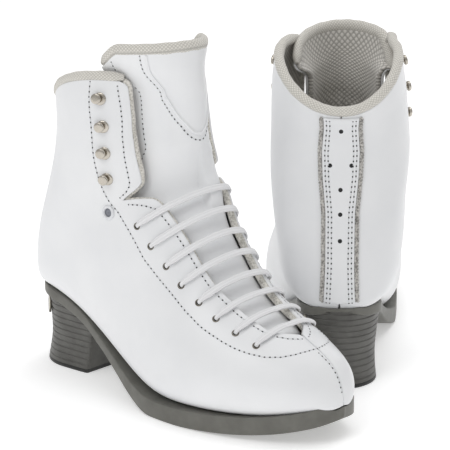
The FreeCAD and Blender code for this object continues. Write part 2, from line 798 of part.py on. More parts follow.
# ---- one boot --------------------------------------------------------------------------------
def boot_pieces():
    pieces = {
        "outsole": outsole,
        "heel_block": heel_block,
        "heel_lift": heel_lift,
        "heel_badge": heel_badge,
        "shank": shank,
        "insole_board": insole_board,
        "footbed": footbed,
        "quarter_lateral": lambda: quarter(-1),
        "quarter_medial": lambda: quarter(1),
        "lining_lateral": lambda: lining(-1),
        "lining_medial": lambda: lining(1),
        "padding_lateral": lambda: padding(-1),
        "padding_medial": lambda: padding(1),
        "toe_box": lambda: Part.makeCompound([toe_box(side) for side in SIDES]),
        "heel_counter": lambda: Part.makeCompound([counter(side) for side in SIDES]),
        "backstay": backstay,
        "backstay_trim": backstay_trim,
        "collar_roll": collar_roll,
        "tongue_lower": lambda: tongue_layer(LOWER_TONGUE_KS, 0.0, TONGUE_LEATHER),
        "tongue_upper": lambda: tongue_layer(UPPER_TONGUE_KS, 0.0, TONGUE_LEATHER),
        "tongue_lining_lower": lambda: tongue_layer(LOWER_TONGUE_KS, TONGUE_LEATHER + GAP,
                                                    TONGUE_LEATHER + GAP + 2.0, 0.94),
        "tongue_lining_upper": lambda: tongue_layer(UPPER_TONGUE_KS, TONGUE_LEATHER + 2 * GAP,
                                                    TONGUE_LEATHER + GAP + TONGUE_PAD, 0.94),
        "eyelets": lambda: group(eyelet, LACE_EYELETS, EYELET_BORE, EYELET_HOLE - 0.15, EYELET_RIM, 0.06),
        "top_eyelets": lambda: group(eyelet, [TOP_EYELET], 2.3, 2.9, 4.5, 0.3),
        "hooks": lambda: group(hook, HOOKS),
        "lace": lace,
        "aglets": aglets,
    }
    return pieces


def placed(shape, where, mirrored):
    x, y, heading = where
    if mirrored:
        shape = shape.mirror(V(0, 0, 0), V(0, 1, 0))
    move = FreeCAD.Placement(V(x, y, 0), FreeCAD.Rotation(V(0, 0, 1), heading))
    shape = shape.copy()
    shape.Placement = move.multiply(shape.Placement)
    return shape


def main():
    os.makedirs("parts", exist_ok=True)
    for name, maker in boot_pieces().items():
        shape = maker()
        print("%-22s solids %2d volume %10.1f valid %s" % (name, len(shape.Solids), shape.Volume,
                                                         shape.isValid()))
        for prefix, where, mirrored in (("right", RIGHT_BOOT_AT, False), ("left", LEFT_BOOT_AT, True)):
            placed(shape, where, mirrored).exportStep("parts/%s_%s.step" % (prefix, name))


main()
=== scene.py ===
import math

import bmesh
import bpy
import numpy as np
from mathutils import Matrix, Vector


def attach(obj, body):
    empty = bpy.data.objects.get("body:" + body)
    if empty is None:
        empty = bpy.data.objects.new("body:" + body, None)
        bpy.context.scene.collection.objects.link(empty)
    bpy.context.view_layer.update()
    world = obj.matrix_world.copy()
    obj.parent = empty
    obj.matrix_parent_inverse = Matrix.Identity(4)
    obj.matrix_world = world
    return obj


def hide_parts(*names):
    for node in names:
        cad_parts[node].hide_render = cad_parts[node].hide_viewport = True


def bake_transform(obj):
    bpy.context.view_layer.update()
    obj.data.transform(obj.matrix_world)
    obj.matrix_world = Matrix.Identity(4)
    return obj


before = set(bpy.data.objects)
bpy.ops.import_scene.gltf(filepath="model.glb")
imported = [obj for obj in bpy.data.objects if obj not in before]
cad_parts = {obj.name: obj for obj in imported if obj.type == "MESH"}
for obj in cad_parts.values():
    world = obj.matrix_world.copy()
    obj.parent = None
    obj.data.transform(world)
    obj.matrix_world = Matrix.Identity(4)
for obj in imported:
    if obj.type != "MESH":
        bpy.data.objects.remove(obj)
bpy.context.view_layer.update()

# ---- driving dimensions, as in the CAD source ----
BOOTS = {"right": (-120.15, 8.1, -44.3, 1.0), "left": (78.05, -83.8, 88.0, -1.0)}
LEATHER, GAP, PAD_GAP, PADDING, LINING = 2.2, 0.15, 0.35, 1.4, 1.2
LACE_ROOM, TONGUE_LEATHER = 3.6, 1.8
WELT, FOREFOOT_SOLE, WAIST_SOLE, LIFT_HEIGHT = 0.9, 7.7, 2.6, 2.6
HEEL_FRONT_X = 56.4
RIB_PITCH = 4.4
SOLE_TIP_X, SOLE_HEEL_X = 270.0, 3.2
TOP_STATION = 17.0
SIDES = ((-1, "lateral"), (1, "medial"))
STATIONS = np.array([
    (269.5, 25.0, 269.5, 25.0, 8.0, 8.0, 0.0, 0.0, 0.42, 0.88, 0.60),
    (265.0, 21.5, 265.0, 44.0, 8.0, 8.0, 17.2, 15.0, 0.42, 0.88, 0.60),
    (252.0, 17.5, 254.5, 55.0, 7.5, 7.5, 31.0, 25.5, 0.42, 0.90, 0.60),
    (232.0, 13.0, 240.0, 63.0, 6.5, 6.5, 42.0, 33.5, 0.40, 0.92, 0.60),
    (206.0, 9.8, 223.0, 71.5, 4.0, 5.0, 50.3, 40.0, 0.38, 0.92, 0.60),
    (175.0, 8.0, 205.0, 81.0, 1.0, 3.5, 54.5, 44.5, 0.36, 0.92, 0.62),
    (141.0, 8.5, 190.0, 93.0, -1.0, 2.0, 53.0, 45.0, 0.36, 0.90, 0.66),
    (108.5, 18.5, 177.5, 109.0, -1.5, 1.0, 48.5, 43.0, 0.38, 0.88, 0.70),
    (77.5, 34.0, 167.0, 126.5, -1.0, 0.5, 45.5, 41.7, 0.38, 0.86, 0.72),
    (46.5, 47.0, 156.0, 143.0, 0.0, 0.0, 45.0, 42.0, 0.42, 0.86, 0.72),
    (19.0, 53.5, 144.0, 157.5, 0.0, 0.0, 44.5, 43.0, 0.46, 0.86, 0.70),
    (5.0, 60.0, 134.0, 171.5, 0.0, 0.0, 44.8, 45.0, 0.48, 0.80, 0.68),
    (7.0, 87.5, 126.5, 184.5, 0.0, 0.0, 48.0, 46.0, 0.50, 0.70, 0.66),
    (15.5, 116.5, 121.5, 196.0, 0.0, 0.0, 48.8, 48.0, 0.51, 0.64, 0.64),
    (25.0, 145.5, 119.5, 206.0, 0.0, 0.0, 48.5, 46.8, 0.51, 0.63, 0.62),
    (29.5, 174.0, 119.0, 213.0, 0.0, 0.0, 48.3, 45.4, 0.51, 0.62, 0.60),
    (27.5, 202.0, 120.0, 217.5, 0.0, 0.0, 47.4, 43.2, 0.51, 0.62, 0.58),
    (22.0, 231.5, 121.5, 221.0, 0.0, 0.0, 45.0, 41.0, 0.51, 0.62, 0.58)])
LACE_EYELETS = [(3.95, 1.593), (4.72, 1.596), (5.53, 1.587), (6.32, 1.555),
                (7.11, 1.490), (7.87, 1.446), (8.65, 1.410), (9.45, 1.392)]
TOP_EYELET = (10.55, 1.268)
HOOKS = [(11.68, 1.335), (12.71, 1.345), (14.04, 1.319), (15.75, 1.273)]
# front edge of a quarter, as (station, v) pairs: throat, notch under the hook flap, hook flap
THROAT_EDGE = [(0.0, 1.998), (3.3, 1.995), (3.42, 1.985), (3.55, 1.94), (3.75, 1.86), (4.1, 1.80),
               (5.0, 1.785), (5.8, 1.775), (6.5, 1.735), (7.2, 1.705), (8.0, 1.68), (9.0, 1.645),
               (9.6, 1.622), (9.86, 1.600), (10.0, 1.578), (10.1, 1.548), (10.3, 1.487),
               (10.5, 1.422), (10.58, 1.396), (10.61, 1.390), (10.64, 1.415), (10.67, 1.480),
               (10.71, 1.525), (10.78, 1.552), (10.95, 1.566), (11.4, 1.578), (12.5, 1.60),
               (13.75, 1.60), (15.0, 1.58), (16.2, 1.545), (16.6, 1.525), (16.85, 1.49), (17.0, 1.44)]


# ---- the upper's surface ----
def second_slopes(values, clamped):
    n = len(values) - 1
    system = np.eye(n + 1)
    right = np.zeros(n + 1)
    if clamped:
        system[0, :2] = 2.0, 1.0
        right[0] = 6.0 * (values[1] - values[0])
    for i in range(1, n):
        system[i, i - 1:i + 2] = 1.0, 4.0, 1.0
        right[i] = 6.0 * (values[i + 1] - 2.0 * values[i] + values[i - 1])
    return np.linalg.solve(system, right)


SLOPES = np.stack([second_slopes(STATIONS[:, c], c in (0, 2)) for c in range(11)], 1)


def station(k):
    k = np.asarray(k, float)
    i = np.clip(k.astype(int), 0, len(STATIONS) - 2)
    f = (k - i)[..., None]
    g = 1.0 - f
    return (g * STATIONS[i] + f * STATIONS[i + 1]
            + ((g ** 3 - g) * SLOPES[i] + (f ** 3 - f) * SLOPES[i + 1]) / 6.0)


def skin(k, v, side):
    k, v = np.broadcast_arrays(np.asarray(k, float), np.asarray(v, float))
    c = station(k)
    xb, zb, xf, zf, yb, yf, outer, inner, share, low, high = [c[..., i] for i in range(11)]
    width = outer if side < 0 else inner
    lower = v <= 1.0
    u = np.where(lower, v, v - 1.0)
    g = 1.0 - u
    c0, c1, c2, c3 = g ** 3, 3 * g * g * u, 3 * g * u * u, u ** 3
    rise = np.where(lower, c2 * share * 0.4 + c3 * share,
                    c0 * share + c1 * (share + (1 - share) * 0.56) + c2 + c3)
    spread = np.where(lower, c1 * low + c2 + c3, c0 + c1 + c2 * high)
    return np.stack([xb + (xf - xb) * rise, yb + (yf - yb) * rise + side * width * spread,
                     zb + (zf - zb) * rise], -1)


def unit(a):
    return a / np.maximum(np.linalg.norm(a, axis=-1, keepdims=True), 1e-12)


def outward(k, v, side):
    k, v = np.broadcast_arrays(np.asarray(k, float), np.asarray(v, float))
    step = 0.01
    along = skin(np.minimum(17.0, k + step), v, side) - skin(np.maximum(0.0, k - step), v, side)
    across = skin(k, np.minimum(2.0, v + step), side) - skin(k, np.maximum(0.0, v - step), side)
    return unit(np.cross(along, across)) * side


def smooth(x):
    x = np.clip(x, 0.0, 1.0)
    return x * x * (3.0 - 2.0 * x)


def flare(k, v, side):
    """How far the inner eyestay and hook flap stand open, away from the tongue."""
    k, v = np.asarray(k, float), np.asarray(v, float)
    opening = 5.0 * smooth((k - 8.0) / 1.8) + 4.0 * smooth((k - 10.60) / 0.2)
    return (side > 0) * opening * smooth((v - 1.20) / 0.38)


def at(k, v, side, height=0.0):
    return skin(k, v, side) + outward(k, v, side) * (np.asarray(height) + flare(k, v, side))[..., None]


def edge_spaced(count, power):
    """Numbers from -1 to 1, closer together towards both ends."""
    q = np.linspace(-1, 1, count)
    return np.sign(q) * (1 - (1 - abs(q)) ** power)


def along_line(points):
    """Distance run at each point of a line."""
    return np.concatenate([[0], np.cumsum(np.linalg.norm(np.diff(points, axis=0), axis=1))])


def along_rows(grid):
    """Mean distance run at each row of a grid of points."""
    return np.concatenate([[0], np.cumsum(np.linalg.norm(np.diff(grid, axis=0), axis=2).mean(1))])


def across_rows(grid):
    """Distance run across each row of a grid of points."""
    steps = np.cumsum(np.linalg.norm(np.diff(grid, axis=1), axis=2), 1)
    return np.concatenate([np.zeros((len(grid), 1)), steps], 1)


def table(pairs, x):
    return np.interp(x, [p[0] for p in pairs], [p[1] for p in pairs])


def collar_station(v):
    return TOP_STATION - 1.48 * (1.0 - smooth(np.asarray(v) / 1.51))


def bottom_edge(k):
    return 0.30 - 0.296 * smooth((np.asarray(k, float) - 9.0) / 2.0)


def throat_edge(k):
    return table(THROAT_EDGE, k)


def pad_share(k, v):
    return 1.0 - smooth((v - 1.06) / 0.16) * smooth((k - 2.95) / 0.6)


def lining_depth(k, v):
    return LEATHER + GAP + (PADDING + 2 * PAD_GAP - GAP) * pad_share(k, v)


# ---- making pieces ----
def place(points, boot):
    x, y, heading, flip = BOOTS[boot]
    a = math.radians(heading)
    p = np.asarray(points, float) * (1.0, flip, 1.0)
    out = np.empty_like(p)
    out[..., 0] = x + math.cos(a) * p[..., 0] - math.sin(a) * p[..., 1]
    out[..., 1] = y + math.sin(a) * p[..., 0] + math.cos(a) * p[..., 1]
    out[..., 2] = p[..., 2]
    return out / 1000.0


class Bucket:
    """Collects vertices and faces of one piece, in boot millimetres."""

    def __init__(self):
        self.verts, self.faces, self.uvs, self.count = [], [], [], 0

    def add(self, verts, faces, uvs=None):
        verts = np.asarray(verts, float).reshape(-1, 3)
        self.verts.append(verts)
        self.faces += [[i + self.count for i in face] for face in faces]
        self.uvs.append(np.zeros((len(verts), 2)) if uvs is None else np.asarray(uvs, float).reshape(-1, 2))
        self.count += len(verts)
        return self


def grid_faces(rows, columns, close_rows=False, close_columns=False):
    faces = []
    for i in range(rows if close_rows else rows - 1):
        for j in range(columns if close_columns else columns - 1):
            a, b = i * columns + j, i * columns + (j + 1) % columns
            c, d = ((i + 1) % rows) * columns + (j + 1) % columns, ((i + 1) % rows) * columns + j
            faces.append([a, b, c, d])
    return faces


def slab(bucket, top, under, uv=None):
    """Closed body between two grids of points."""
    rows, columns = top.shape[:2]
    n = rows * columns
    faces = grid_faces(rows, columns) + [[n + i for i in f[::-1]] for f in grid_faces(rows, columns)]
    ring = [(0, j) for j in range(columns)] + [(i, columns - 1) for i in range(1, rows)]
    ring += [(rows - 1, j) for j in range(columns - 2, -1, -1)] + [(i, 0) for i in range(rows - 2, 0, -1)]
    ids = [i * columns + j for i, j in ring]
    for a, b in zip(ids, ids[1:] + ids[:1]):
        faces.append([b, a, n + a, n + b])
    uvs = None if uv is None else np.concatenate([uv.reshape(-1, 2), uv.reshape(-1, 2)])
    bucket.add(np.concatenate([top.reshape(-1, 3), under.reshape(-1, 3)]), faces, uvs)
    return bucket


def tube(bucket, centres, ups, half_width, half_height, sides=12, power=1.0, closed=False):
    """Sweeps an oval along a line; ups gives the direction of its small axis at each point."""
    centres, ups = np.asarray(centres, float), np.asarray(ups, float)
    ahead = np.roll(centres, -1, 0) - np.roll(centres, 1, 0)
    if not closed:
        ahead[0], ahead[-1] = centres[1] - centres[0], centres[-1] - centres[-2]
    ahead = unit(ahead)
    ups = unit(ups - ahead * (ups * ahead).sum(1, keepdims=True))
    across = np.cross(ahead, ups)
    angles = np.linspace(0, 2 * math.pi, sides, endpoint=False)
    co, si = np.cos(angles), np.sin(angles)
    co, si = np.sign(co) * abs(co) ** power, np.sign(si) * abs(si) ** power
    w = np.broadcast_to(np.asarray(half_width, float), (len(centres),))[:, None, None]
    h = np.broadcast_to(np.asarray(half_height, float), (len(centres),))[:, None, None]
    sideways, lift = across[:, None] * w * co[None, :, None], ups[:, None] * h * si[None, :, None]
    rings = centres[:, None] + sideways + lift
    run = along_line(centres)
    uvs = np.stack(np.broadcast_arrays(run[:, None], (angles * 4.0)[None, :]), -1)
    count = len(centres)
    faces = grid_faces(count, sides, closed, True)
    if not closed:
        faces += [list(range(sides))[::-1], [(count - 1) * sides + i for i in range(sides)]]
    bucket.add(rings, faces, uvs)
    return bucket


def make(name, bucket, material, body="boot", nodes=(), bend=None, weld=False, shape=None):
    """Builds the piece for both boots; the left one is the mirror image."""
    made = []
    verts, uvs = np.concatenate(bucket.verts), np.concatenate(bucket.uvs)
    for boot in BOOTS:
        flipped = BOOTS[boot][3] < 0
        faces = [f[::-1] for f in bucket.faces] if flipped else bucket.faces
        mesh = bpy.data.meshes.new(boot + "_" + name)
        own = verts if shape is None else shape(verts, boot)
        mesh.from_pydata(place(own, boot).tolist(), [], faces)
        mesh.validate()
        layer = mesh.uv_layers.new(name="cloth")
        index = np.empty(len(mesh.loops), np.int32)
        mesh.loops.foreach_get("vertex_index", index)
        layer.data.foreach_set("uv", (uvs[index] / 1000.0).astype(np.float32).ravel())
        work = bmesh.new()
        work.from_mesh(mesh)
        if weld:
            bmesh.ops.remove_doubles(work, verts=work.verts, dist=2e-6)
            bmesh.ops.dissolve_degenerate(work, edges=work.edges, dist=1e-6)
        bmesh.ops.recalc_face_normals(work, faces=work.faces)
        work.to_mesh(mesh)
        work.free()
        mesh.polygons.foreach_set("use_smooth", [True] * len(mesh.polygons))
        obj = bpy.data.objects.new(boot + "_" + name, mesh)
        bpy.context.collection.objects.link(obj)
        obj.data.materials.append(material)
        if bend is None:
            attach(obj, boot + "_" + body)
        else:
            start, end = [place(np.array(p), boot) for p in bend]
            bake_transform(obj)
        if nodes:
            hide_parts(*[boot + "_" + n for n in nodes])
        made.append(obj)
    return made


# ---- materials ----
def shader(name, roughness=0.5, **sockets):
    material = bpy.data.materials.new(name)
    material.use_nodes = True
    tree = material.node_tree
    principled = tree.nodes["Principled BSDF"]
    principled.inputs["Roughness"].default_value = roughness
    for key, value in sockets.items():
        principled.inputs[key.replace("_", " ")].default_value = value
    return material, tree, principled


def texture_space(tree, scale, uv=False):
    if uv:
        source = tree.nodes.new("ShaderNodeUVMap")
        source.uv_map = "cloth"
        output = source.outputs["UV"]
    else:
        source = tree.nodes.new("ShaderNodeTexCoord")
        output = source.outputs["Object"]
    mapping = tree.nodes.new("ShaderNodeMapping")
    mapping.inputs["Scale"].default_value = scale if hasattr(scale, "__len__") else (scale,) * 3
    tree.links.new(output, mapping.inputs["Vector"])
    return mapping.outputs["Vector"]


def noise(tree, space, scale, detail=4.0, rough=0.55):
    node = tree.nodes.new("ShaderNodeTexNoise")
    node.inputs["Scale"].default_value = scale
    node.inputs["Detail"].default_value = detail
    node.inputs["Roughness"].default_value = rough
    tree.links.new(space, node.inputs["Vector"])
    return node.outputs["Fac"]


def ramp(tree, value, stops):
    node = tree.nodes.new("ShaderNodeValToRGB")
    elements = node.color_ramp.elements
    while len(elements) < len(stops):
        elements.new(0.5)
    for element, (position, colour) in zip(elements, stops):
        element.position = position
        element.color = (*colour, 1.0)
    tree.links.new(value, node.inputs["Fac"])
    return node.outputs["Color"]


def maths(tree, operation, a, b=None, c=None):
    node = tree.nodes.new("ShaderNodeMath")
    node.operation = operation
    for index, value in enumerate((a, b, c)):
        if value is None:
            continue
        if isinstance(value, (int, float)):
            node.inputs[index].default_value = value
        else:
            tree.links.new(value, node.inputs[index])
    return node.outputs[0]


def bump(tree, principled, height, strength, distance, under=None):
    node = tree.nodes.new("ShaderNodeBump")
    node.inputs["Strength"].default_value = strength
    node.inputs["Distance"].default_value = distance
    tree.links.new(height, node.inputs["Height"])
    if under is not None:
        tree.links.new(under, node.inputs["Normal"])
    tree.links.new(node.outputs["Normal"], principled.inputs["Normal"])
    return node.outputs["Normal"]


def spread_value(tree, value, low, high):
    node = tree.nodes.new("ShaderNodeMapRange")
    node.inputs["To Min"].default_value = low
    node.inputs["To Max"].default_value = high
    tree.links.new(value, node.inputs["Value"])
    return node.outputs["Result"]


def leather(name, dark, light, roughness=(0.34, 0.46), grain=0.12, coat=0.12):
    material, tree, bsdf = shader(name, Coat_Weight=coat, Coat_Roughness=0.3)
    space = texture_space(tree, 1.0)
    broad = noise(tree, space, 22.0, 3.0)
    tree.links.new(ramp(tree, broad, [(0.3, dark), (0.7, light)]), bsdf.inputs["Base Color"])
    tree.links.new(spread_value(tree, noise(tree, space, 60.0, 4.0), *roughness), bsdf.inputs["Roughness"])
    cells = tree.nodes.new("ShaderNodeTexVoronoi")
    cells.feature = "DISTANCE_TO_EDGE"
    cells.inputs["Scale"].default_value = 1100.0
    tree.links.new(space, cells.inputs["Vector"])
    fine = bump(tree, bsdf, cells.outputs["Distance"], grain, 0.00012)
    bump(tree, bsdf, noise(tree, space, 45.0, 5.0), 0.10, 0.0006, fine)
    return material


def crossed_waves(tree, space):
    """Diamonds: the product of two waves that cross at right angles."""
    split = tree.nodes.new("ShaderNodeSeparateXYZ")
    tree.links.new(space, split.inputs[0])
    x, y = split.outputs["X"], split.outputs["Y"]
    waves = [maths(tree, "SINE", maths(tree, "MULTIPLY", maths(tree, way, x, y), math.pi))
             for way in ("ADD", "SUBTRACT")]
    return maths(tree, "MULTIPLY", *waves)


def mesh_cloth(name, dark, light, pitch, uv=True, depth=0.5, roughness=0.85):
    """Knitted mesh: rows of small raised diamonds."""
    material, tree, bsdf = shader(name, roughness, Sheen_Weight=0.25, Sheen_Roughness=0.5)
    cell = maths(tree, "ABSOLUTE", crossed_waves(tree, texture_space(tree, 1000.0 / pitch, uv)))
    grit = noise(tree, texture_space(tree, 1.0), 900.0, 2.0)
    tone = maths(tree, "MULTIPLY_ADD", grit, 0.35, maths(tree, "MULTIPLY", cell, 0.75))
    tree.links.new(ramp(tree, tone, [(0.12, dark), (0.75, light)]), bsdf.inputs["Base Color"])
    bump(tree, bsdf, tone, depth, 0.0005)
    return material


def grit_cloth(name, dark, light, scale, depth=0.5, roughness=0.85):
    material, tree, bsdf = shader(name, roughness, Sheen_Weight=0.3, Sheen_Roughness=0.5)
    space = texture_space(tree, 1.0)
    cells = tree.nodes.new("ShaderNodeTexVoronoi")
    cells.inputs["Scale"].default_value = scale
    tree.links.new(space, cells.inputs["Vector"])
    tone = maths(tree, "MULTIPLY_ADD", noise(tree, space, scale * 0.3, 3.0), 0.5,
                 maths(tree, "MULTIPLY", cells.outputs["Distance"], 0.7))
    tree.links.new(ramp(tree, tone, [(0.3, dark), (0.8, light)]), bsdf.inputs["Base Color"])
    bump(tree, bsdf, tone, depth, 0.0005)
    return material


def woven_lace(name):
    material, tree, bsdf = shader(name, 0.7, Sheen_Weight=0.2)
    weave = crossed_waves(tree, texture_space(tree, (1000.0 / 0.9, 1000.0 / 3.2, 1.0), True))
    tree.links.new(ramp(tree, weave, [(0.0, (0.80, 0.80, 0.81)), (0.8, (0.93, 0.93, 0.94))]),
                   bsdf.inputs["Base Color"])
    bump(tree, bsdf, weave, 0.45, 0.0003)
    return material


def moulded(name, dark, light, roughness, metallic=0.0, scale=400.0, depth=0.08, coat=0.0):
    material, tree, bsdf = shader(name, Metallic=metallic, Coat_Weight=coat)
    space = texture_space(tree, 1.0)
    tree.links.new(ramp(tree, noise(tree, space, scale * 0.2, 3.0), [(0.3, dark), (0.7, light)]),
                   bsdf.inputs["Base Color"])
    tree.links.new(spread_value(tree, noise(tree, space, scale, 3.0), roughness - 0.06, roughness + 0.08),
                   bsdf.inputs["Roughness"])
    bump(tree, bsdf, noise(tree, space, scale * 2.5, 3.0), depth, 0.0002)
    return material


WHITE = leather("white_leather", (0.80, 0.808, 0.822), (0.85, 0.855, 0.865))
# a little lighter than the white leather: painted light lifting the shade the tongue sits in
TONGUE_WHITE_PAINTED_LIGHT = leather("tongue_leather", (0.81, 0.818, 0.832), (0.86, 0.865, 0.875))
THREAD = moulded("thread", (0.70, 0.71, 0.725), (0.80, 0.81, 0.82), 0.6, 0.0, 2000.0, 0.4)
# near-black, painted shade: flat discs in it stand in for the shaded inside of stitch holes, eyelet bores and
# backstay vents
HOLE_SHADE = moulded("painted_hole_shade", (0.012, 0.012, 0.013), (0.03, 0.03, 0.03), 0.8)
LINING_CLOTH = mesh_cloth("lining_mesh", (0.40, 0.385, 0.355), (0.70, 0.675, 0.63), 2.4)
TONGUE_MESH = mesh_cloth("tongue_mesh", (0.36, 0.345, 0.32), (0.78, 0.755, 0.71), 5.0, depth=0.8)
ROLL_CLOTH = grit_cloth("collar_cloth", (0.42, 0.405, 0.36), (0.76, 0.735, 0.68), 700.0)
BRAID = grit_cloth("braid", (0.13, 0.125, 0.115), (0.60, 0.58, 0.55), 700.0)
SOLE_GREY = moulded("sole_grey", (0.115, 0.113, 0.098), (0.155, 0.152, 0.135), 0.45)
HEEL_GREY = moulded("heel_grey", (0.075, 0.073, 0.066), (0.12, 0.118, 0.108), 0.42)
LIFT_BLACK = moulded("lift_black", (0.012, 0.012, 0.012), (0.028, 0.028, 0.026), 0.4)
NICKEL = moulded("nickel", (0.45, 0.415, 0.36), (0.57, 0.53, 0.47), 0.24, 1.0, 150.0, 0.03)
GUNMETAL = moulded("gunmetal", (0.15, 0.135, 0.11), (0.27, 0.25, 0.215), 0.35, 0.8, 150.0, 0.03)
# blue-grey, painted shade: fills the empty top eyelet's hole
TOP_BORE_SHADE = moulded("painted_top_bore_shade", (0.13, 0.14, 0.165), (0.30, 0.31, 0.35), 0.5)
# white enamel, greyed a little below the leather's white: painted shade standing for the shading round the
# ring's edge
WHITE_ENAMEL_AND_SHADE = moulded("white_enamel_and_painted_shade", (0.74, 0.75, 0.77), (0.82, 0.83, 0.85), 0.3, 0.0, 150.0, 0.02, 0.3)
BADGE = moulded("badge_satin", (0.60, 0.58, 0.50), (0.74, 0.72, 0.65), 0.35, 0.6, 300.0, 0.03)
LACE_CLOTH = woven_lace("lace_weave")
BOARD = grit_cloth("fibre_board", (0.30, 0.23, 0.15), (0.45, 0.36, 0.25), 600.0)
FOAM = grit_cloth("foam", (0.55, 0.52, 0.42), (0.75, 0.72, 0.62), 1500.0)
COLLAR_MESH = mesh_cloth("collar_mesh", (0.50, 0.48, 0.435), (0.77, 0.745, 0.69), 2.4, depth=0.6)
STIFFENER = grit_cloth("stiffener", (0.33, 0.27, 0.19), (0.46, 0.39, 0.29), 500.0)
AGLET = moulded("aglet_clear", (0.80, 0.80, 0.80), (0.88, 0.88, 0.88), 0.2)
FOOTBED_CLOTH = mesh_cloth("footbed_knit", (0.40, 0.385, 0.36), (0.66, 0.64, 0.60), 1.8, depth=0.3)
STEEL = moulded("shank_steel", (0.35, 0.36, 0.38), (0.50, 0.51, 0.53), 0.35, 1.0)


# ---- leather and lining ----
def fine_stations(low, high, step, extra=()):
    ks = list(np.arange(low, high, step)) + [high] + [e for e in extra if low < e < high]
    return np.array(sorted(set(round(float(k), 4) for k in ks)))


EDGE_STEPS = (0.0, 0.12, 0.32, 0.62, 1.0)


def panel_grid(ks, side, low, high, columns, collar=0.0):
    """Parameters of a strip of the upper, with extra rows close to its edges."""
    ks = np.asarray(ks, float)
    v0, v1 = low(ks), high(ks)
    span = np.linalg.norm(np.diff(at(ks[:, None], v0[:, None] + (v1 - v0)[:, None]
                                     * np.linspace(0, 1, 25)[None], side), axis=1), axis=2).sum(1)
    rows = []
    for length in span:
        edge = np.array(EDGE_STEPS) / max(length, 6.0)
        inner = np.linspace(0, 1, columns)
        inner = edge[-1] + (1 - 2 * edge[-1]) * inner[1:-1]
        rows.append(np.concatenate([edge, inner, 1 - edge[::-1]]))
    q = np.array(rows)
    v = v0[:, None] + (v1 - v0)[:, None] * q
    k = np.broadcast_to(ks[:, None], v.shape).copy()
    upper = k > 11.0
    remap = 11.0 + (k - 11.0) * (collar_station(v) - collar - 11.0) / (TOP_STATION - 11.0)
    k = np.where(upper, remap, k)
    distance = np.minimum(q, 1 - q) * span[:, None]
    return k, v, distance


def rounding(distance, radius=0.9):
    s = np.clip(distance, 0, radius)
    return radius - np.sqrt(np.maximum(0.0, radius ** 2 - (radius - s) ** 2))


def top_distance(k_rows):
    """Distance in mm of each row from the last one, for rounding the collar edge."""
    run = along_rows(k_rows)
    return run[-1] - run


NOTCH_STATIONS = (9.9, 10.0, 10.05, 10.45, 10.52, 10.56, 10.585, 10.61, 10.625, 10.64, 10.655, 10.67,
                  10.69, 10.71, 10.745, 10.78, 10.85)
LEATHER_KS = fine_stations(0.02, 17.0, 0.14, NOTCH_STATIONS + (0.05, 0.09, 0.23, 3.3, 3.36, 3.42, 3.48,
                                                                3.62, 3.68, 16.93, 16.965, 16.985))


def panel(bucket, ks, side, low, high, top, under, columns=46, collar=0.0, radius=0.9):
    k, v, distance = panel_grid(ks, side, low, high, columns, collar)
    surface = at(k, v, side, -top(k, v))
    distance = np.minimum(distance, top_distance(surface)[:, None])
    drop = rounding(distance, radius)
    upper = at(k, v, side, -(top(k, v) + drop))
    lower = at(k, v, side, -(under(k, v) - np.minimum(drop, 0.4)))
    uv = np.stack(np.broadcast_arrays(across_rows(surface), along_rows(surface)[:, None]), -1)
    return slab(bucket, upper, lower, uv)


def constant(value):
    return lambda k, v: np.zeros_like(v) + value


for side, word in SIDES:
    make("quarter_leather_" + word,
         panel(Bucket(), LEATHER_KS, side, bottom_edge, throat_edge, constant(0.0), constant(LEATHER)),
         WHITE, nodes=["quarter_" + word])
    make("lining_cloth_" + word,
         panel(Bucket(), LEATHER_KS, side, lambda k: bottom_edge(k) - 0.02 * smooth((9.0 - k) / 0.5),
               throat_edge, lining_depth, lambda k, v: lining_depth(k, v) + LINING, 40, 0.03, 0.4),
         LINING_CLOTH, nodes=["lining_" + word])


# ---- stitching ----
def surface_path(pairs, side, count=400):
    """A smooth line over the leather through (station, v) pairs, as evenly spaced points."""
    pairs = np.array(pairs, float)
    run = along_line(skin(pairs[:, 0], pairs[:, 1], side))
    fine = np.linspace(0, run[-1], count)
    k, v = np.interp(fine, run, pairs[:, 0]), np.interp(fine, run, pairs[:, 1])
    for _ in range(3):
        k[1:-1] = (k[:-2] + 2 * k[1:-1] + k[2:]) / 4
        v[1:-1] = (v[:-2] + 2 * v[1:-1] + v[2:]) / 4
    return k, v


def capsule(bucket, a, b, up, radius):
    """One stitch: a short thread that dips into the leather at both ends."""
    share = np.array([0.0, 0.12, 0.35, 0.65, 0.88, 1.0])
    rise = np.array([-0.45, 0.02, 0.22, 0.22, 0.02, -0.45])
    thick = np.array([0.55, 0.95, 1.0, 1.0, 0.95, 0.55]) * radius
    centres = a + (b - a) * share[:, None] + up * rise[:, None]
    tube(bucket, centres, np.broadcast_to(up, centres.shape), thick, thick * 0.8, 7)


# a thin flat disc on the surface; in the near-black colour it is painted shade in place of a hole
def disc(bucket, centre, up, radius, lift):
    side = unit(np.cross(up, (0.31, 0.62, 0.72)))
    other = np.cross(up, side)
    angles = np.linspace(0, 2 * math.pi, 9, endpoint=False)
    ring = centre + up * lift + (side * np.cos(angles)[:, None] + other * np.sin(angles)[:, None]) * radius
    low = ring - up * 0.3
    faces = [list(range(9)), [9 + i for i in range(9)][::-1]]
    faces += [[i, 9 + i, 9 + (i + 1) % 9, (i + 1) % 9] for i in range(9)]
    bucket.add(np.concatenate([ring, low]), faces)


def stitch_run(threads, holes, points, normals, pitch=3.5, length=2.9, radius=0.27):
    run = along_line(points)
    for start in np.arange(0.3, run[-1] - length, pitch):
        a = np.array([np.interp(start, run, points[:, i]) for i in range(3)])
        b = np.array([np.interp(start + length, run, points[:, i]) for i in range(3)])
        up = unit(np.array([np.interp(start + length / 2, run, normals[:, i]) for i in range(3)]))
        capsule(threads, a, b, up, radius)
        for end in (a, b):
            # a dark disc at each end of the stitch: painted shade of the needle hole
            disc(holes, end, up, 0.5, 0.04)


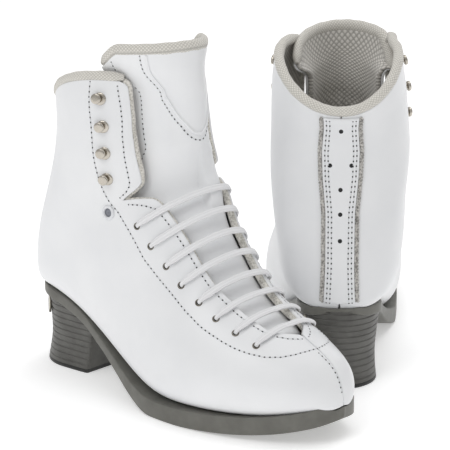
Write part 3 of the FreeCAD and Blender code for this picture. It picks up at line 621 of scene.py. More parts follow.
FACING_LINE = [(16.72, 1.16), (15.9, 1.155), (15.14, 1.167), (13.73, 1.214), (12.36, 1.262), (11.51, 1.284),
               (10.81, 1.305), (10.37, 1.325), (9.57, 1.329), (8.48, 1.326), (7.69, 1.361), (6.91, 1.407),
               (6.11, 1.449), (5.20, 1.469), (4.35, 1.470), (3.91, 1.486), (3.45, 1.525), (3.05, 1.61),
               (2.80, 1.72), (2.63, 1.86), (2.56, 1.99)]
FLAP_LINE = [(16.62, 1.43), (15.0, 1.485), (13.75, 1.51), (12.5, 1.51), (11.4, 1.49), (10.95, 1.475),
             (10.80, 1.43), (10.75, 1.37)]
THROAT_LINE = [(10.32, 1.41), (9.95, 1.50), (9.6, 1.565), (9.0, 1.595), (8.0, 1.632), (7.2, 1.660),
               (6.5, 1.69), (5.8, 1.727), (5.0, 1.738), (4.2, 1.75), (3.75, 1.79), (3.45, 1.85),
               (3.22, 1.94), (3.18, 1.99)]
TOE_LINE = [(2.35, 1.955), (1.6, 1.955), (0.9, 1.95), (0.45, 1.93)]
for side, word in SIDES:
    threads, holes = Bucket(), Bucket()
    for line in (FACING_LINE, FLAP_LINE, THROAT_LINE) + ((TOE_LINE,) if side < 0 else ()):
        k, v = surface_path(line, side)
        stitch_run(threads, holes, at(k, v, side), outward(k, v, side))
    make("stitching_" + word, threads, THREAD)
    make("stitch_holes_" + word, holes, HOLE_SHADE)


# ---- backstay ----
STAY_WIDTH = [(11.0, 10.8), (12.0, 9.8), (13.2, 10.0), (14.0, 12.2), (14.6, 12.8), (15.2, 11.6),
              (16.0, 13.0)]
STAY_KS = fine_stations(11.15, 15.47, 0.07)
BACKSTAY_HOLES = [(15.15, 0.0), (14.3, -7.2), (14.3, 7.2), (13.75, 0.0), (13.2, 0.0), (12.6, 0.0)]


def v_for_spread(k, distance, side):
    k = np.asarray(k, float)
    low, high = np.zeros_like(k + distance), np.ones_like(k + distance)
    for _ in range(26):
        mid = (low + high) / 2
        less = abs(skin(k, mid, side)[..., 1]) < distance
        low, high = np.where(less, mid, low), np.where(less, high, mid)
    return low


def back_points(k, y, height):
    """Points over the back of the leg at sideways distance y (either sign)."""
    k, y = np.broadcast_arrays(np.asarray(k, float), np.asarray(y, float))
    out = np.empty(k.shape + (3,))
    for side in (-1, 1):
        pick = (y < 0) if side < 0 else (y >= 0)
        v = v_for_spread(k[pick], abs(y[pick]), side)
        out[pick] = at(k[pick], v, side, np.broadcast_to(height, k.shape)[pick])
    return out


def back_normal(k, y):
    side = -1 if y < 0 else 1
    return outward(k, float(v_for_spread(k, abs(y), side)), side)


def stay_strip(bucket, low, high, top, under, columns=25, radius=0.5):
    q = np.concatenate([[0, 0.012, 0.03, 0.06], np.linspace(0.1, 0.9, columns), [0.94, 0.97, 0.988, 1.0]])
    y = low(STAY_KS)[:, None] + (high(STAY_KS) - low(STAY_KS))[:, None] * q
    distance = np.minimum(y - y[:, :1], y[:, -1:] - y)
    drop = rounding(distance, radius)
    upper = back_points(STAY_KS[:, None], y, top - drop)
    lower = back_points(STAY_KS[:, None], y, under + np.zeros_like(y))
    return slab(bucket, upper, lower, np.stack(np.broadcast_arrays(y, STAY_KS[:, None] * 20), -1))


def stay_width(k):
    return table(STAY_WIDTH, k)


make("backstay_leather", stay_strip(Bucket(), lambda k: -stay_width(k), stay_width, 1.5, 0.1), WHITE,
     nodes=["backstay"])
threads, holes, braid = Bucket(), Bucket(), Bucket()
for sign in (-1, 1):
    for inset in (2.0, 4.2):
        y = sign * (stay_width(STAY_KS) - inset)
        line = back_points(STAY_KS, y, 1.5)
        normals = np.array([back_normal(k, d) for k, d in zip(STAY_KS, y)])
        stitch_run(threads, holes, line, normals)
    # twisted braid along each edge: two strands winding round each other
    ks = fine_stations(11.15, 15.47, 0.018)
    base = sign * (stay_width(ks) + 1.5)
    middle = back_points(ks, base, 0.75)
    run = along_line(middle)
    for phase in (0.0, math.pi):
        turn = run / 4.2 * 2 * math.pi + phase
        line = back_points(ks, base + 0.75 * np.cos(turn), 0.80 + 0.45 * np.sin(turn))
        ups = np.array([back_normal(k, d) for k, d in zip(ks, base)])
        tube(braid, line, ups, 0.85, 0.7, 8)
make("backstay_stitching", threads, THREAD)
make("backstay_stitch_holes", holes, HOLE_SHADE)
make("backstay_braid", braid, BRAID, nodes=["backstay_trim"])
# the backstay's perforations are not cut: dark discs paint the shade inside them
vent_shade = Bucket()
for k, y in BACKSTAY_HOLES:
    point, up = back_points(np.array([k]), np.array([y]), 1.5)[0], back_normal(k, y)
    disc(vent_shade, point, up, 1.55, 0.04)
make("backstay_vents", vent_shade, HOLE_SHADE)

# ---- edges: padded lining folded round the front edge of each quarter ----
def throat_path(side, low, high, count):
    ks = fine_stations(low, high, 0.1, NOTCH_STATIONS)
    v = throat_edge(ks)
    upper = 11.0 + (ks - 11.0) * (collar_station(v) - 11.0) / (TOP_STATION - 11.0)
    return surface_path(np.stack([np.where(ks > 11.0, upper, ks), v], 1), side, count)


for side, word in SIDES:
    k, v = throat_path(side, 3.75, 16.9, 420)
    line, normal = at(k, v, side), outward(k, v, side)
    ahead = unit(np.gradient(line, axis=0))
    out = unit(np.cross(normal, ahead)) * side
    throat_swell = 1.0 if side < 0 else 2.3
    swell = np.interp(k, [3.7, 4.6, 9.6, 10.1, 10.7, 11.2, 17.0],
                      [0.9, throat_swell, throat_swell, 1.0, 1.2, 2.1, 2.2])
    beyond = np.interp(k, [4.0, 9.6, 10.7, 11.4],
                       [-0.2, -0.1, 0.1, 0.35] if side < 0 else [0.1, 0.2, 0.1, 0.35])
    centre = line - normal * (LEATHER + 0.15 + swell * 0.50)[:, None] + out * (swell * beyond)[:, None]
    made = make("edge_padding_" + word, tube(Bucket(), centre, normal, swell, swell * 1.05, 14),
                ROLL_CLOTH)

# ---- collar ----
COLLAR_REACH = 1.475
q = np.concatenate([np.linspace(-COLLAR_REACH, -0.01, 114), np.linspace(0.01, COLLAR_REACH, 114)])
side = np.where(q < 0, -1, 1)
points, ups = [], []
for s, v in zip(side, abs(q)):
    k = float(collar_station(v))
    up = unit(skin(k, v, s) - skin(k - 0.2, v, s))
    points.append(at(k, v, s, -2.6) + up * 2.6)
    ups.append(up)
ends = np.minimum(1.0, 0.6 + (COLLAR_REACH - abs(q)) * 5.0)
wave = 1.0 + 0.035 * np.sin(q * 23.0) + 0.02 * np.sin(q * 51.0 + 1.0)
roll = tube(Bucket(), points, ups, 3.6 * ends * wave, 3.5 * ends * wave, 22)
for obj in make("collar_padding", roll, COLLAR_MESH, nodes=["collar_roll"]):
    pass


# ---- tongue ----
TONGUE_LINE = [(10.0, 146.5, 160.0), (11.0, 140.0, 178.0), (12.0, 139.0, 193.0), (13.5, 139.5, 209.0),
               (15.0, 140.5, 224.0), (17.0, 141.5, 252.0)]
TONGUE_THROAT = LEATHER + GAP + LINING + LACE_ROOM
TONGUE_SPACING = 1.25


def eased(pairs, x):
    """Like table(), but with rounded corners."""
    x = np.asarray(x, float)
    weights = ((-0.6, 0.15), (-0.3, 0.2), (0, 0.3), (0.3, 0.2), (0.6, 0.15))
    return sum(table(pairs, x + d) * w for d, w in weights)


def cuff_tongue(k, share, side):
    x = eased([(a, b) for a, b, c in TONGUE_LINE], k)
    z = table([(a, c) for a, b, c in TONGUE_LINE], k)
    tight = np.where(side < 0, 0.955, 0.94)
    rest = table([(10.3, 1.0), (11.0, 0.0), (15.0, 0.0), (17.0, 1.0)], k)
    tuck = tight + (1 - tight) * rest
    width = tuck * eased([(10.0, 30.0), (12.0, 29.0), (15.0, 29.5), (16.0, 33.0), (17.0, 36.5)], k)
    depth = eased([(10.0, 42.0), (12.0, 48.0), (15.0, 52.0), (17.0, 54.0)], k)
    angle = np.radians(82.0 + (side < 0) * 11.0 * smooth((k - 14.6) / 1.4)) * share
    back = depth * (1 - np.cos(angle))
    corner = np.where(side < 0, 11.0 * smooth((share - 0.80) / 0.20), 18.0 * smooth((share - 0.60) / 0.38))
    height = z - back * 0.12 - corner * smooth((k - 15.2) / 1.8)
    return np.stack([x - back, side * width * np.sin(angle), height], -1)


def tongue(k, q, depth):
    """Points of the tongue; q runs from -1 (outer side) to 1 (inner side)."""
    k, q, depth = np.broadcast_arrays(np.asarray(k, float), np.asarray(q, float), np.asarray(depth, float))
    side, share = np.where(q < 0, -1.0, 1.0), abs(q)
    span = table([(3.9, 1.80), (4.6, 1.62), (5.5, 1.46), (7.0, 1.34), (9.0, 1.28), (10.3, 1.28)], k)
    v = 2.0 - (2.0 - span) * share
    low = np.empty(k.shape + (3,))
    for s in (-1, 1):
        pick = side == s
        low[pick] = at(np.minimum(k[pick], 12.0), v[pick], s, -TONGUE_THROAT - depth[pick])
    kk = np.clip(k, 10.03, 16.97)
    du = (cuff_tongue(kk, np.minimum(1.0, share + 0.02), side)
          - cuff_tongue(kk, np.maximum(0.0, share - 0.02), side))
    dk = cuff_tongue(kk + 0.02, share, side) - cuff_tongue(kk - 0.02, share, side)
    high = cuff_tongue(k, share, side) - unit(np.cross(du, dk) * side[..., None]) * depth[..., None]
    mix = smooth((k - 9.6) / 1.6)[..., None]
    return low * (1 - mix) + high * mix


def tongue_normal(k, q):
    return unit(tongue(k, q, 0.0) - tongue(k, q, 1.0))


def tongue_sheet(bucket, ks, reach, low, high, radius, columns=61):
    """Sheet of the tongue between two depths with rounded edges."""
    q = edge_spaced(columns, TONGUE_SPACING)
    grid_k, grid_q = np.broadcast_arrays(ks[:, None], q[None] * reach(ks)[:, None])
    flat = tongue(grid_k, grid_q, low(grid_k))
    run_q, run_k = across_rows(flat), along_rows(flat)
    edge = np.minimum(run_q, run_q[:, -1:] - run_q)
    edge = np.minimum(edge, np.minimum(run_k, run_k[-1] - run_k)[:, None])
    drop = rounding(edge, radius)
    top = tongue(grid_k, grid_q, low(grid_k) + drop)
    under = tongue(grid_k, grid_q, high(grid_k) - drop * 0.6)
    middle = run_q - run_q[:, columns // 2][:, None]
    return slab(bucket, top, under, np.stack(np.broadcast_arrays(middle, run_k[:, None]), -1))


def worn_tongue(points, boot):
    """Each tongue has sagged; the right one also leans to its inner side, clear of the outer flap."""
    worn = points.copy()
    y, z = points[..., 1], points[..., 2]
    if boot == "left":
        worn[..., 1] += 2.5 * smooth((z - 150.0) / 26.0)
        worn[..., 2] -= 29.0 * smooth((z - 168.0) / 84.0)
        return worn
    lean = smooth((z - 163.0) / 15.0) * (1 - smooth((z - 208.0) / 34.0))
    worn[..., 0] += 5.5 * lean * smooth((-y - 14.0) / 15.0)
    worn[..., 1] += 5.5 * smooth((z - 128.0) / 26.0) * (1 - smooth((z - 208.0) / 34.0))
    worn[..., 2] -= (6.5 + 2.0 * smooth((y + 14.0) / 46.0)) * smooth((z - 190.0) / 62.0)
    return worn


TONGUE_KS = fine_stations(3.75, 17.0, 0.1, (3.76, 3.79, 16.97, 16.99, 16.94))
BEND = ((150.0, 0.0, 150.0), (139.5, 0.0, 168.0))
TONGUE_REACH = 0.985
PANEL_HALF, PANEL_LOW_K, PANEL_RISE, PANEL_POWER = 0.54, 11.5, 2.8, 2.2


def panel_dip(k, q):
    """Height of the U-shaped inset: 1 inside, 0 outside, its lower end round."""
    reach = PANEL_HALF * np.clip((k - PANEL_LOW_K) / PANEL_RISE, 0.0, 1.0) ** (1 / PANEL_POWER)
    return smooth((reach - abs(q)) * 14.0) * (k > PANEL_LOW_K)


def fold(k, q):
    """Two soft creases where the tongue bends."""
    lower = 0.9 * np.exp(-((k - 10.9 - 0.25 * q) / 0.16) ** 2)
    upper = 0.7 * np.exp(-((k - 11.75 + 0.2 * q) / 0.2) ** 2)
    return (lower + upper) * np.clip(1.2 - abs(q), 0, 1)


def tongue_leather_depth(k):
    q = edge_spaced(k.shape[1], TONGUE_SPACING)[None]
    return 0.35 * panel_dip(k, q) + fold(k, q) * 0.45


outside = tongue_sheet(Bucket(), TONGUE_KS, lambda k: np.full_like(k, TONGUE_REACH), tongue_leather_depth,
                       lambda k: np.full_like(k, TONGUE_LEATHER), 0.7, 91)
make("tongue_leather", outside, TONGUE_WHITE_PAINTED_LIGHT, nodes=["tongue_lower", "tongue_upper"],
     bend=BEND, shape=worn_tongue)
inside = tongue_sheet(Bucket(), TONGUE_KS,
                      lambda k: table([(3.7, 0.94), (10.0, 0.95), (11.0, 1.0), (17, TONGUE_REACH)], k),
                      lambda k: np.full_like(k, TONGUE_LEATHER + GAP),
                      lambda k: TONGUE_LEATHER + GAP + 2.0 + 1.6 * smooth((k - 10.0) / 0.8), 1.5)
for obj in make("tongue_padding", inside, TONGUE_MESH,
                nodes=["tongue_lining_lower", "tongue_lining_upper"], bend=BEND, shape=worn_tongue):
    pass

q = np.linspace(-TONGUE_REACH, TONGUE_REACH, 160)
top_line = tongue(17.0, q, 3.0)
rise = unit(tongue(16.98, q, 0.0) - tongue(16.9, q, 0.0))
swell = np.minimum(1.0, 0.4 + (TONGUE_REACH - abs(q)) * 9.0) * (1.0 + 0.03 * np.sin(q * 31.0))
roll = tube(Bucket(), top_line + rise * 1.7, rise, 3.2 * swell, 4.5 * swell, 20)
for obj in make("tongue_top_roll", roll, COLLAR_MESH, body="tongue", shape=worn_tongue):
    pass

# piping and stitching round the U-shaped inset, and stitching along the tongue's sides
inset_q = PANEL_HALF * np.sin(np.linspace(-1, 1, 240) * math.pi / 2)
inset_k = PANEL_LOW_K + PANEL_RISE * abs(inset_q / PANEL_HALF) ** PANEL_POWER
rail = np.linspace(PANEL_LOW_K + PANEL_RISE, 16.93, 60)
u_k = np.concatenate([rail[::-1], inset_k[1:-1], rail])
u_q = np.concatenate([np.full(60, -PANEL_HALF), inset_q[1:-1], np.full(60, PANEL_HALF)])
normals = tongue_normal(u_k, u_q)
line = tongue(u_k, u_q, -0.15)
make("tongue_piping", tube(Bucket(), line, normals, 0.95, 0.75, 12), TONGUE_WHITE_PAINTED_LIGHT,
     body="tongue", shape=worn_tongue)
threads, holes = Bucket(), Bucket()
stitch_q = u_q * 1.11
stitch_k = u_k - 0.28 * np.clip((16.93 - u_k) / PANEL_RISE, 0.0, 1.0)
stitch_run(threads, holes, tongue(stitch_k, stitch_q, 0.0), tongue_normal(stitch_k, stitch_q))
for share in (-0.87, 0.87):
    ks = np.linspace(10.75, 16.8, 200)
    stitch_run(threads, holes, tongue(ks, share, 0.0), tongue_normal(ks, np.full_like(ks, share)))
make("tongue_stitching", threads, THREAD, body="tongue", shape=worn_tongue)
make("tongue_stitch_holes", holes, HOLE_SHADE, body="tongue", shape=worn_tongue)


# ---- sole and heel ----
LOW_KS = np.linspace(0.0, 11.0, 2201)
LOW_LINE = station(LOW_KS)


def sole_place(x):
    """Height, station and middle line of the upper's underside at a distance from the heel."""
    x = np.clip(x, 5.3, 269.4)
    k = np.interp(-x, -LOW_LINE[:, 0], LOW_KS)
    line = station(k)
    return line[..., 1], k, line[..., 4]


def sole_thickness(x):
    return WAIST_SOLE + (FOREFOOT_SOLE - WAIST_SOLE) * smooth((x - 84.0) / 62.0)


def sole_half_width(x, side):
    z, k, middle = sole_place(x)
    values = station(k)
    width = np.where(side < 0, values[..., 6], values[..., 7])
    share = table([(0, 0.97), (3, 0.945), (6, 0.93), (7.2, 0.80), (8.6, 0.66), (9.5, 0.66)], k)
    width = width * share + WELT
    heel = 29.5 * np.sqrt(np.clip(1 - ((SOLE_HEEL_X + 27.0 - np.minimum(x, 30.2)) / 27.0) ** 2, 0, 1))
    blend = smooth((x - 40.0) / 40.0)
    return heel * (1 - blend) + width * blend


def leather_floor(x, y):
    side_all = np.where(y < 0, -1, 1)
    z, k, middle = sole_place(x)
    result = np.empty_like(z)
    for side in (-1, 1):
        pick = side_all == side
        kk, xx, yy = k[pick], x[pick], y[pick]
        for _ in range(4):
            low, high = np.zeros_like(kk), np.full_like(kk, 0.9)
            for _ in range(18):
                mid = (low + high) / 2
                less = (skin(kk, mid, side)[..., 1] - yy) * side < 0
                low, high = np.where(less, mid, low), np.where(less, high, mid)
            point = skin(kk, low, side)
            kk = np.clip(kk + (point[..., 0] - xx) / 30.0, 0.05, 10.9)
        result[pick] = point[..., 2]
    return result


angles = np.linspace(0.03, math.pi - 0.03, 110)
x_rows = (SOLE_TIP_X + SOLE_HEEL_X) / 2 + (SOLE_TIP_X - SOLE_HEEL_X) / 2 * np.cos(angles)
x, q = np.broadcast_arrays(x_rows[:, None], edge_spaced(41, 1.9)[None])
z, k, middle = sole_place(x)
reach = SOLE_TIP_X - x
close = np.where(reach < 9.0, np.sqrt(np.clip(1 - (1 - np.minimum(reach, 9.0) / 9.0) ** 2, 0, 1)), 1.0)
half = sole_half_width(x, q) * close
y = middle + q * half
floor_z = np.minimum(leather_floor(x, y), z + 5.0)
edge = np.minimum(half * (1 - abs(q)), np.minimum(reach, x - SOLE_HEEL_X))
top = np.stack([x, y, np.maximum(z, floor_z) - GAP - rounding(edge, 0.7)], -1)
low_z = np.maximum(0.05, z - GAP - sole_thickness(x)) + rounding(edge, 1.1) * (sole_thickness(x) > 2.2)
underside = np.stack([x, y, np.minimum(low_z, top[..., 2] - 0.6)], -1)
make("sole", slab(Bucket(), top, underside), SOLE_GREY, nodes=["outsole"])


def heel_outline(z, inset, count=64):
    """Ring round the heel at a height: curved back and sides, straight breast."""
    share = z / 56.0
    back = inset + eased_heel([(0.0, 3.6), (8.0, 5.4), (20.0, 7.6), (34.0, 7.6), (46.0, 5.6), (62.0, 4.0)], z)
    front = HEEL_FRONT_X + 5.0 * share + 6.0 * share * share
    half = eased_heel([(0.0, 26.8), (8.0, 25.6), (22.0, 25.2), (38.0, 26.8), (62.0, 29.2)], z) - inset
    nose = half * 1.02
    a = np.radians(np.linspace(-90, 90, count))
    curve = np.stack([back + nose - nose * np.cos(a), half * np.sin(a)], 1)
    run = np.linspace(0, 1, 14)[1:]
    side = np.stack([curve[-1, 0] + (front - 1.6 - curve[-1, 0]) * run, half - 2.2 * run ** 1.5], 1)
    corner = np.array([[front - 0.5, half - 2.7], [front, half - 3.9]])
    right = np.concatenate([curve, side, corner])
    other = np.concatenate([side, corner])[::-1] * (1, -1)
    breast = np.stack([np.full(9, front), np.linspace(half - 3.9, -(half - 3.9), 11)[1:-1]], 1)
    ring = np.concatenate([right, breast, other])
    return np.concatenate([ring, np.full((len(ring), 1), z)], 1)


def eased_heel(pairs, z):
    return sum(table(pairs, z + d) for d in (-4.0, -2.0, 0.0, 2.0, 4.0)) / 5.0


def groove(z):
    """Depth of the ribbing: a narrow rounded groove at every pitch."""
    phase = (z - LIFT_HEIGHT - 2.6) % RIB_PITCH
    return 0.5 * smooth(phase / 0.4) * smooth((1.5 - phase) / 0.4) * (z > LIFT_HEIGHT + 2.0)


def seat_height(x):
    return sole_place(x)[0] - 2 * GAP - sole_thickness(x)


def stack_rings(zs, insets, top=None):
    rings = np.array([heel_outline(z, inset) for z, inset in zip(zs, insets)])
    if top is not None:
        rings[..., 2] = np.minimum(rings[..., 2], top(rings[..., 0]))
    count, n = rings.shape[:2]
    faces = grid_faces(count, n, False, True)
    faces += [list(range(n))[::-1], [(count - 1) * n + i for i in range(n)]]
    return Bucket().add(rings, faces)


STACK_LOW = LIFT_HEIGHT + GAP
zs = np.concatenate([[STACK_LOW, STACK_LOW + 0.1], np.arange(LIFT_HEIGHT + 0.5, 57.5, 0.22)])
make("heel_stack", stack_rings(zs, groove(zs), seat_height), HEEL_GREY, nodes=["heel_block"],
     weld=True)
zs = np.array([0.0, 0.12, 0.35, 0.7, LIFT_HEIGHT - 0.3, LIFT_HEIGHT - 0.1, LIFT_HEIGHT])
make("heel_lift_cap", stack_rings(zs, [0.55, 0.3, 0.1, 0.0, 0.0, 0.12, 0.3]), LIFT_BLACK,
     nodes=["heel_lift"])


# ---- turned metal parts ----
def turned(bucket, profile, point, direction, squash_y=1.0, closed=True, steps=28):
    """Ring or disc of revolution from (radius, height) pairs, standing on a point."""
    direction = unit(np.asarray(direction, float))
    a = unit(np.cross(direction, (0.13, 0.21, 0.97)))
    if abs(squash_y - 1.0) > 1e-6:
        a = unit(np.cross(direction, np.cross((0, 0, 1.0), direction)))
    b = np.cross(direction, a)
    turn = np.linspace(0, 2 * math.pi, steps, endpoint=False)
    rows = []
    for r, h in profile:
        r = max(r, 0.02)
        circle = a * np.cos(turn)[:, None] + b * squash_y * np.sin(turn)[:, None]
        rows.append(point + direction * h + circle * r)
    count = len(rows)
    faces = grid_faces(count, steps, closed, True)
    if not closed:
        faces += [list(range(steps))[::-1], [(count - 1) * steps + i for i in range(steps)]]
    bucket.add(np.array(rows), faces)
    return bucket


# profiles of the turned parts, as (radius, height) pairs
EYELET_RING = [(1.65, -1.0), (1.65, 0.12), (1.8, 0.3), (2.1, 0.36), (2.4, 0.26), (2.52, 0.05), (2.5, -0.2),
               (1.9, -0.2), (1.9, -1.0)]
TOP_EYELET_RING = [(2.9, -1.2), (2.9, 0.5), (3.15, 1.1), (3.8, 1.5), (4.5, 1.3), (5.0, 0.8), (5.15, -0.1),
                   (3.3, -0.1), (3.3, -1.2)]
TOP_EYELET_BORE = [(2.89, 0.10), (1.2, 0.08), (0.0, 0.07), (0.0, -0.4), (2.89, -0.4)]
HOOK_BASE = [(0.0, -0.2), (4.3, -0.2), (4.4, 0.15), (4.15, 0.5), (3.6, 0.72), (2.4, 0.85), (0.0, 0.9)]
HOOK_STEM = [(0.0, 0.4), (1.7, 0.5), (1.55, 1.4), (1.5, 2.6), (1.9, 3.2), (0.0, 3.3)]
HOOK_HEAD = [(0.0, 2.3), (3.1, 2.3), (3.45, 2.55), (3.55, 2.95), (3.55, 3.9), (3.4, 4.25), (3.05, 4.45),
             (1.5, 4.52), (0.0, 4.55)]
STEM_OFFSET, HEAD_OFFSET = 0.5, 1.3
BADGE_FACE = [(0.0, 0.2), (6.0, 0.2), (6.1, 0.9), (5.6, 1.25), (3.0, 1.45), (0.0, 1.5)]
BADGE_RIM = [(5.9, 0.2), (7.0, 0.2), (7.05, 1.1), (6.7, 1.4), (6.2, 1.3), (5.9, 1.0)]

metal, bore_shades, white_metal, top_bores, hooks = [Bucket() for _ in range(5)]
for side in (-1, 1):
    for k, v in LACE_EYELETS:
        point, up = at(k, v, side), outward(k, v, side)
        turned(metal, EYELET_RING, point, up)
        # a dark disc in the eyelet: painted shade of its bore
        disc(bore_shades, point, up, 1.64, 0.05)
    k, v = TOP_EYELET
    point, up = at(k, v, side), outward(k, v, side)
    turned(white_metal, TOP_EYELET_RING, point, up)
    # a blue-grey disc fills the top eyelet's hole as painted shade
    turned(top_bores, TOP_EYELET_BORE, point, up)
    for k, v in HOOKS:
        point, up = at(k, v, side), outward(k, v, side)
        rearward = np.array([-1.0, 0.0, 0.16])
        back = unit(rearward - up * (rearward @ up))
        turned(hooks, HOOK_BASE, point, up, closed=False)
        turned(hooks, HOOK_STEM, point + back * STEM_OFFSET, up, closed=False)
        turned(hooks, HOOK_HEAD, point + back * HEAD_OFFSET, unit(up + back * 0.10), closed=False)
make("lace_eyelet_rings", metal, GUNMETAL, nodes=["eyelets"])
make("eyelet_bores", bore_shades, HOLE_SHADE)
make("top_eyelet_bores", top_bores, TOP_BORE_SHADE)
make("top_eyelet_rings", white_metal, WHITE_ENAMEL_AND_SHADE, nodes=["top_eyelets"])
make("speed_hooks", hooks, NICKEL, nodes=["hooks"])

badge, badge_rim = Bucket(), Bucket()
a = math.radians(-58.0)
spot = np.array([6.2 + 27.0 - 27.0 * math.cos(a), 27.0 * math.sin(a), 43.0])
face = unit(np.array([-math.cos(a), math.sin(a), 0.02]))
spot = spot - face * 0.3
turned(badge, BADGE_FACE, spot, face, 0.40, False, 40)
turned(badge_rim, BADGE_RIM, spot, face, 0.43, True, 40)
make("heel_badge_face", badge, BADGE, nodes=["heel_badge"])
make("heel_badge_rim", badge_rim, GUNMETAL)

# ---- lace ----
OVER, UNDER = 2.3, 5.5


def bar_points(index, first_side):
    """One bar over the tongue, from eyelet to eyelet."""
    k, v = LACE_EYELETS[index]
    edge = float(throat_edge(k))
    points = []
    for side in (first_side, -first_side):
        part = [at(k, v, side, OVER), at(k, min(edge, v + 0.11), side, 2.3),
                at(k, min(1.9, edge + 0.05), side, 2.0)]
        points += part if side == first_side else part[::-1]
    middle = skin(k, 2.0, 1) + outward(k, 1.999, 1) * 0.7
    return points[:3] + [middle] + points[3:]


def lace_route():
    side = -1
    k0, v0 = LACE_EYELETS[0]
    route = [at(k0 + 1.4, v0 - 0.16, side, -UNDER), at(k0 + 0.7, v0 - 0.15, side, -UNDER),
             at(k0, v0, side, -UNDER)]
    for index, (k, v) in enumerate(LACE_EYELETS):
        route += bar_points(index, side)
        side = -side
        route.append(at(k, v, side, -UNDER))
        if index + 1 < len(LACE_EYELETS):
            k1, v1 = LACE_EYELETS[index + 1]
            route += [at((k + k1) / 2, (v + v1) / 2, side, -UNDER), at(k1, v1, side, -UNDER)]
    k, v = LACE_EYELETS[-1]
    return route + [at(k - 0.9, v - 0.16, side, -UNDER), at(k - 1.9, v - 0.15, side, -UNDER)]


def spline_points(route, resolution=14):
    """Points along the smooth line through the route."""
    data = bpy.data.curves.new("lace_line", "CURVE")
    data.dimensions = "3D"
    data.resolution_u = resolution
    spline = data.splines.new("NURBS")
    spline.points.add(len(route) - 1)
    for point, place_at in zip(spline.points, route):
        point.co = (*[float(c) for c in place_at], 1.0)
    spline.order_u = 3
    spline.use_endpoint_u = True
    line = bpy.data.objects.new("lace_line", data)
    bpy.context.collection.objects.link(line)
    bpy.context.view_layer.update()
    mesh = bpy.data.meshes.new_from_object(line.evaluated_get(bpy.context.evaluated_depsgraph_get()))
    points = np.array([v.co for v in mesh.vertices], float)
    bpy.data.objects.remove(line)
    bpy.data.curves.remove(data)
    bpy.data.meshes.remove(mesh)
    return points


line = spline_points(lace_route())
line = line[np.concatenate([[True], np.linalg.norm(np.diff(line, axis=0), axis=1) > 0.05])]
ahead = unit(np.gradient(line, axis=0))
eyelet_spots = [(k, v, side) for side in (-1, 1) for k, v in LACE_EYELETS]
holes_at = np.array([at(*spot) for spot in eyelet_spots])
along = np.array([unit(skin(k - 0.3, v, side) - skin(k + 0.3, v, side)) for k, v, side in eyelet_spots])
wide, previous = [], along[0]
for point, direction in zip(line, ahead):
    near = np.argmin(np.linalg.norm(holes_at - point, axis=1))
    wanted = along[near] - direction * (along[near] @ direction)
    carried = previous - direction * (previous @ direction)
    carried = carried / max(1e-6, np.linalg.norm(carried))
    pull = wanted * (1.0 if wanted @ carried >= 0 else -1.0) * 0.6
    previous = unit(carried + pull * (wanted @ wanted))
    wide.append(previous)
wide = np.array(wide)
hole_distance = np.linalg.norm(line[:, None] - holes_at[None], axis=2).min(1)
half_width = 1.45 + 0.95 * smooth((hole_distance - 2.0) / 7.0)
half_thick = 1.0 - 0.12 * smooth((hole_distance - 2.0) / 7.0)
make("lace_cloth", tube(Bucket(), line, np.cross(wide, ahead), half_width, half_thick, 20, 0.8),
     LACE_CLOTH, nodes=["lace"])

# ---- footbed ----
def room_inside(side, height, clearance):
    line = []
    for k in np.linspace(0.7, 10.9, 52):
        v = 0.95
        while v > bottom_edge(k) - 0.02:
            point = at(k, v, side, -(lining_depth(k, v) + LINING))
            z, _, middle = sole_place(point[0])
            if point[2] < z + height:
                break
            v -= 0.01
        line.append((point[0], abs(point[1] - middle) - clearance))
    return sorted(line)


def footbed_sheet(height, rounded):
    xs = np.concatenate([[19.0, 19.3, 20.0], np.linspace(21.0, 250.0, 90), [251.0, 251.7, 252.0]])
    q = edge_spaced(41, 1.6)[None]
    near, far = (xs - 18.0) / 24.0, (253.0 - xs) / 24.0
    close = np.sqrt(1 - (1 - np.clip(np.minimum(near, far), 0, 1)) ** 2)
    z, _, middle = sole_place(xs)
    half = {s: (table(room_inside(s, height, 1.2), xs) - 2.6 * smooth(1 - abs(xs - 88.0) / 50.0)) * close
            for s in (-1, 1)}
    wide = np.where(q < 0, half[-1][:, None], half[1][:, None])
    y = middle[:, None] + q * wide
    edge = np.minimum(wide * (1 - abs(q)), np.minimum(xs - 19.0, 252.0 - xs)[:, None])
    cup = 0.9 * smooth((abs(q) - 0.55) / 0.45) * rounded
    zz = z[:, None] + height - rounding(edge, 1.2) * rounded - (0.9 - cup) * rounded
    return np.stack([np.broadcast_to(xs[:, None], y.shape), y, zz], -1)


top, under = footbed_sheet(12.8, 1.0), footbed_sheet(9.4, 0.0)
for obj in make("footbed_cushion", slab(Bucket(), top, under, top[..., :2]), FOOTBED_CLOTH,
                body="footbed", nodes=["footbed"]):
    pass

# ---- pieces hidden inside, shown as they are in the CAD ----
HIDDEN = {"insole_board": BOARD, "shank": STEEL, "padding_lateral": FOAM, "padding_medial": FOAM,
          "toe_box": STIFFENER, "heel_counter": STIFFENER, "aglets": AGLET}
for boot in BOOTS:
    for name, material in HIDDEN.items():
        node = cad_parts[boot + "_" + name]
        node.data.materials.clear()
        node.data.materials.append(material)

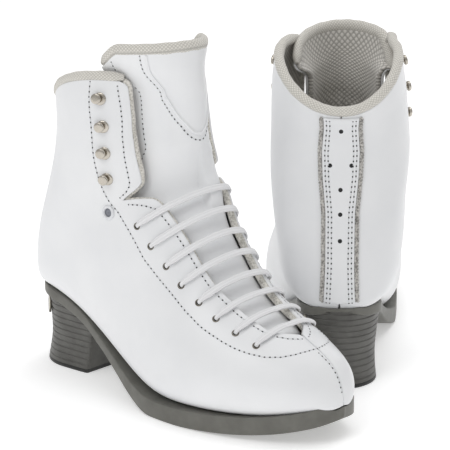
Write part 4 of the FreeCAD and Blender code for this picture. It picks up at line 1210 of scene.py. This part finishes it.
# ---- camera, floor and light ----
ELEVATION, DISTANCE, FOCUS_PX = 17.9, 2.089, 3036.0
camera_data = bpy.data.cameras.new("camera")
camera = bpy.data.objects.new("camera", camera_data)
bpy.context.collection.objects.link(camera)
camera_data.sensor_width = 36.0
camera_data.lens = FOCUS_PX * 36.0 / 450.0
camera_data.clip_start, camera_data.clip_end = 0.1, 20.0
e = math.radians(ELEVATION)
TARGET = Vector((0.0001, -0.0511, 0.110))
camera.location = TARGET + Vector((0.0, -math.cos(e), math.sin(e))) * DISTANCE
camera.rotation_euler = (math.radians(90.0 - ELEVATION), 0.0, 0.0)
bpy.context.scene.camera = camera

floor_mesh = bpy.data.meshes.new("floor")
floor_mesh.from_pydata([(-6, -6, 0), (6, -6, 0), (6, 6, 0), (-6, 6, 0)], [], [[0, 1, 2, 3]])
floor = bpy.data.objects.new("floor", floor_mesh)
bpy.context.collection.objects.link(floor)
floor_mat, _, floor_bsdf = shader("floor_white", 0.9)
floor_bsdf.inputs["Base Color"].default_value = (0.93, 0.93, 0.93, 1)
floor_bsdf.inputs["Emission Color"].default_value = (1.0, 1.0, 1.0, 1)
floor_bsdf.inputs["Emission Strength"].default_value = 0.35
floor_mesh.materials.append(floor_mat)

world = bpy.data.worlds.new("studio")
bpy.context.scene.world = world
world.use_nodes = True
world.node_tree.nodes["Background"].inputs["Color"].default_value = (1.0, 1.0, 1.0, 1)
world.node_tree.nodes["Background"].inputs["Strength"].default_value = 0.5
bpy.context.scene.view_settings.view_transform = "Standard"


def softbox(name, at_point, aim, size, energy):
    data = bpy.data.lights.new(name, "AREA")
    data.shape = "DISK"
    data.size = size
    data.energy = energy
    obj = bpy.data.objects.new(name, data)
    bpy.context.collection.objects.link(obj)
    obj.location = at_point
    obj.rotation_euler = (Vector(aim) - Vector(at_point)).to_track_quat("-Z", "Y").to_euler()


softbox("key", (-0.9, -1.1, 1.6), (0, 0, 0.1), 1.2, 9.0)
softbox("top", (0.3, 0.3, 1.9), (0, 0, 0.1), 1.6, 9.0)
softbox("back", (1.0, 1.4, 1.1), (0, 0, 0.1), 1.2, 5.0)
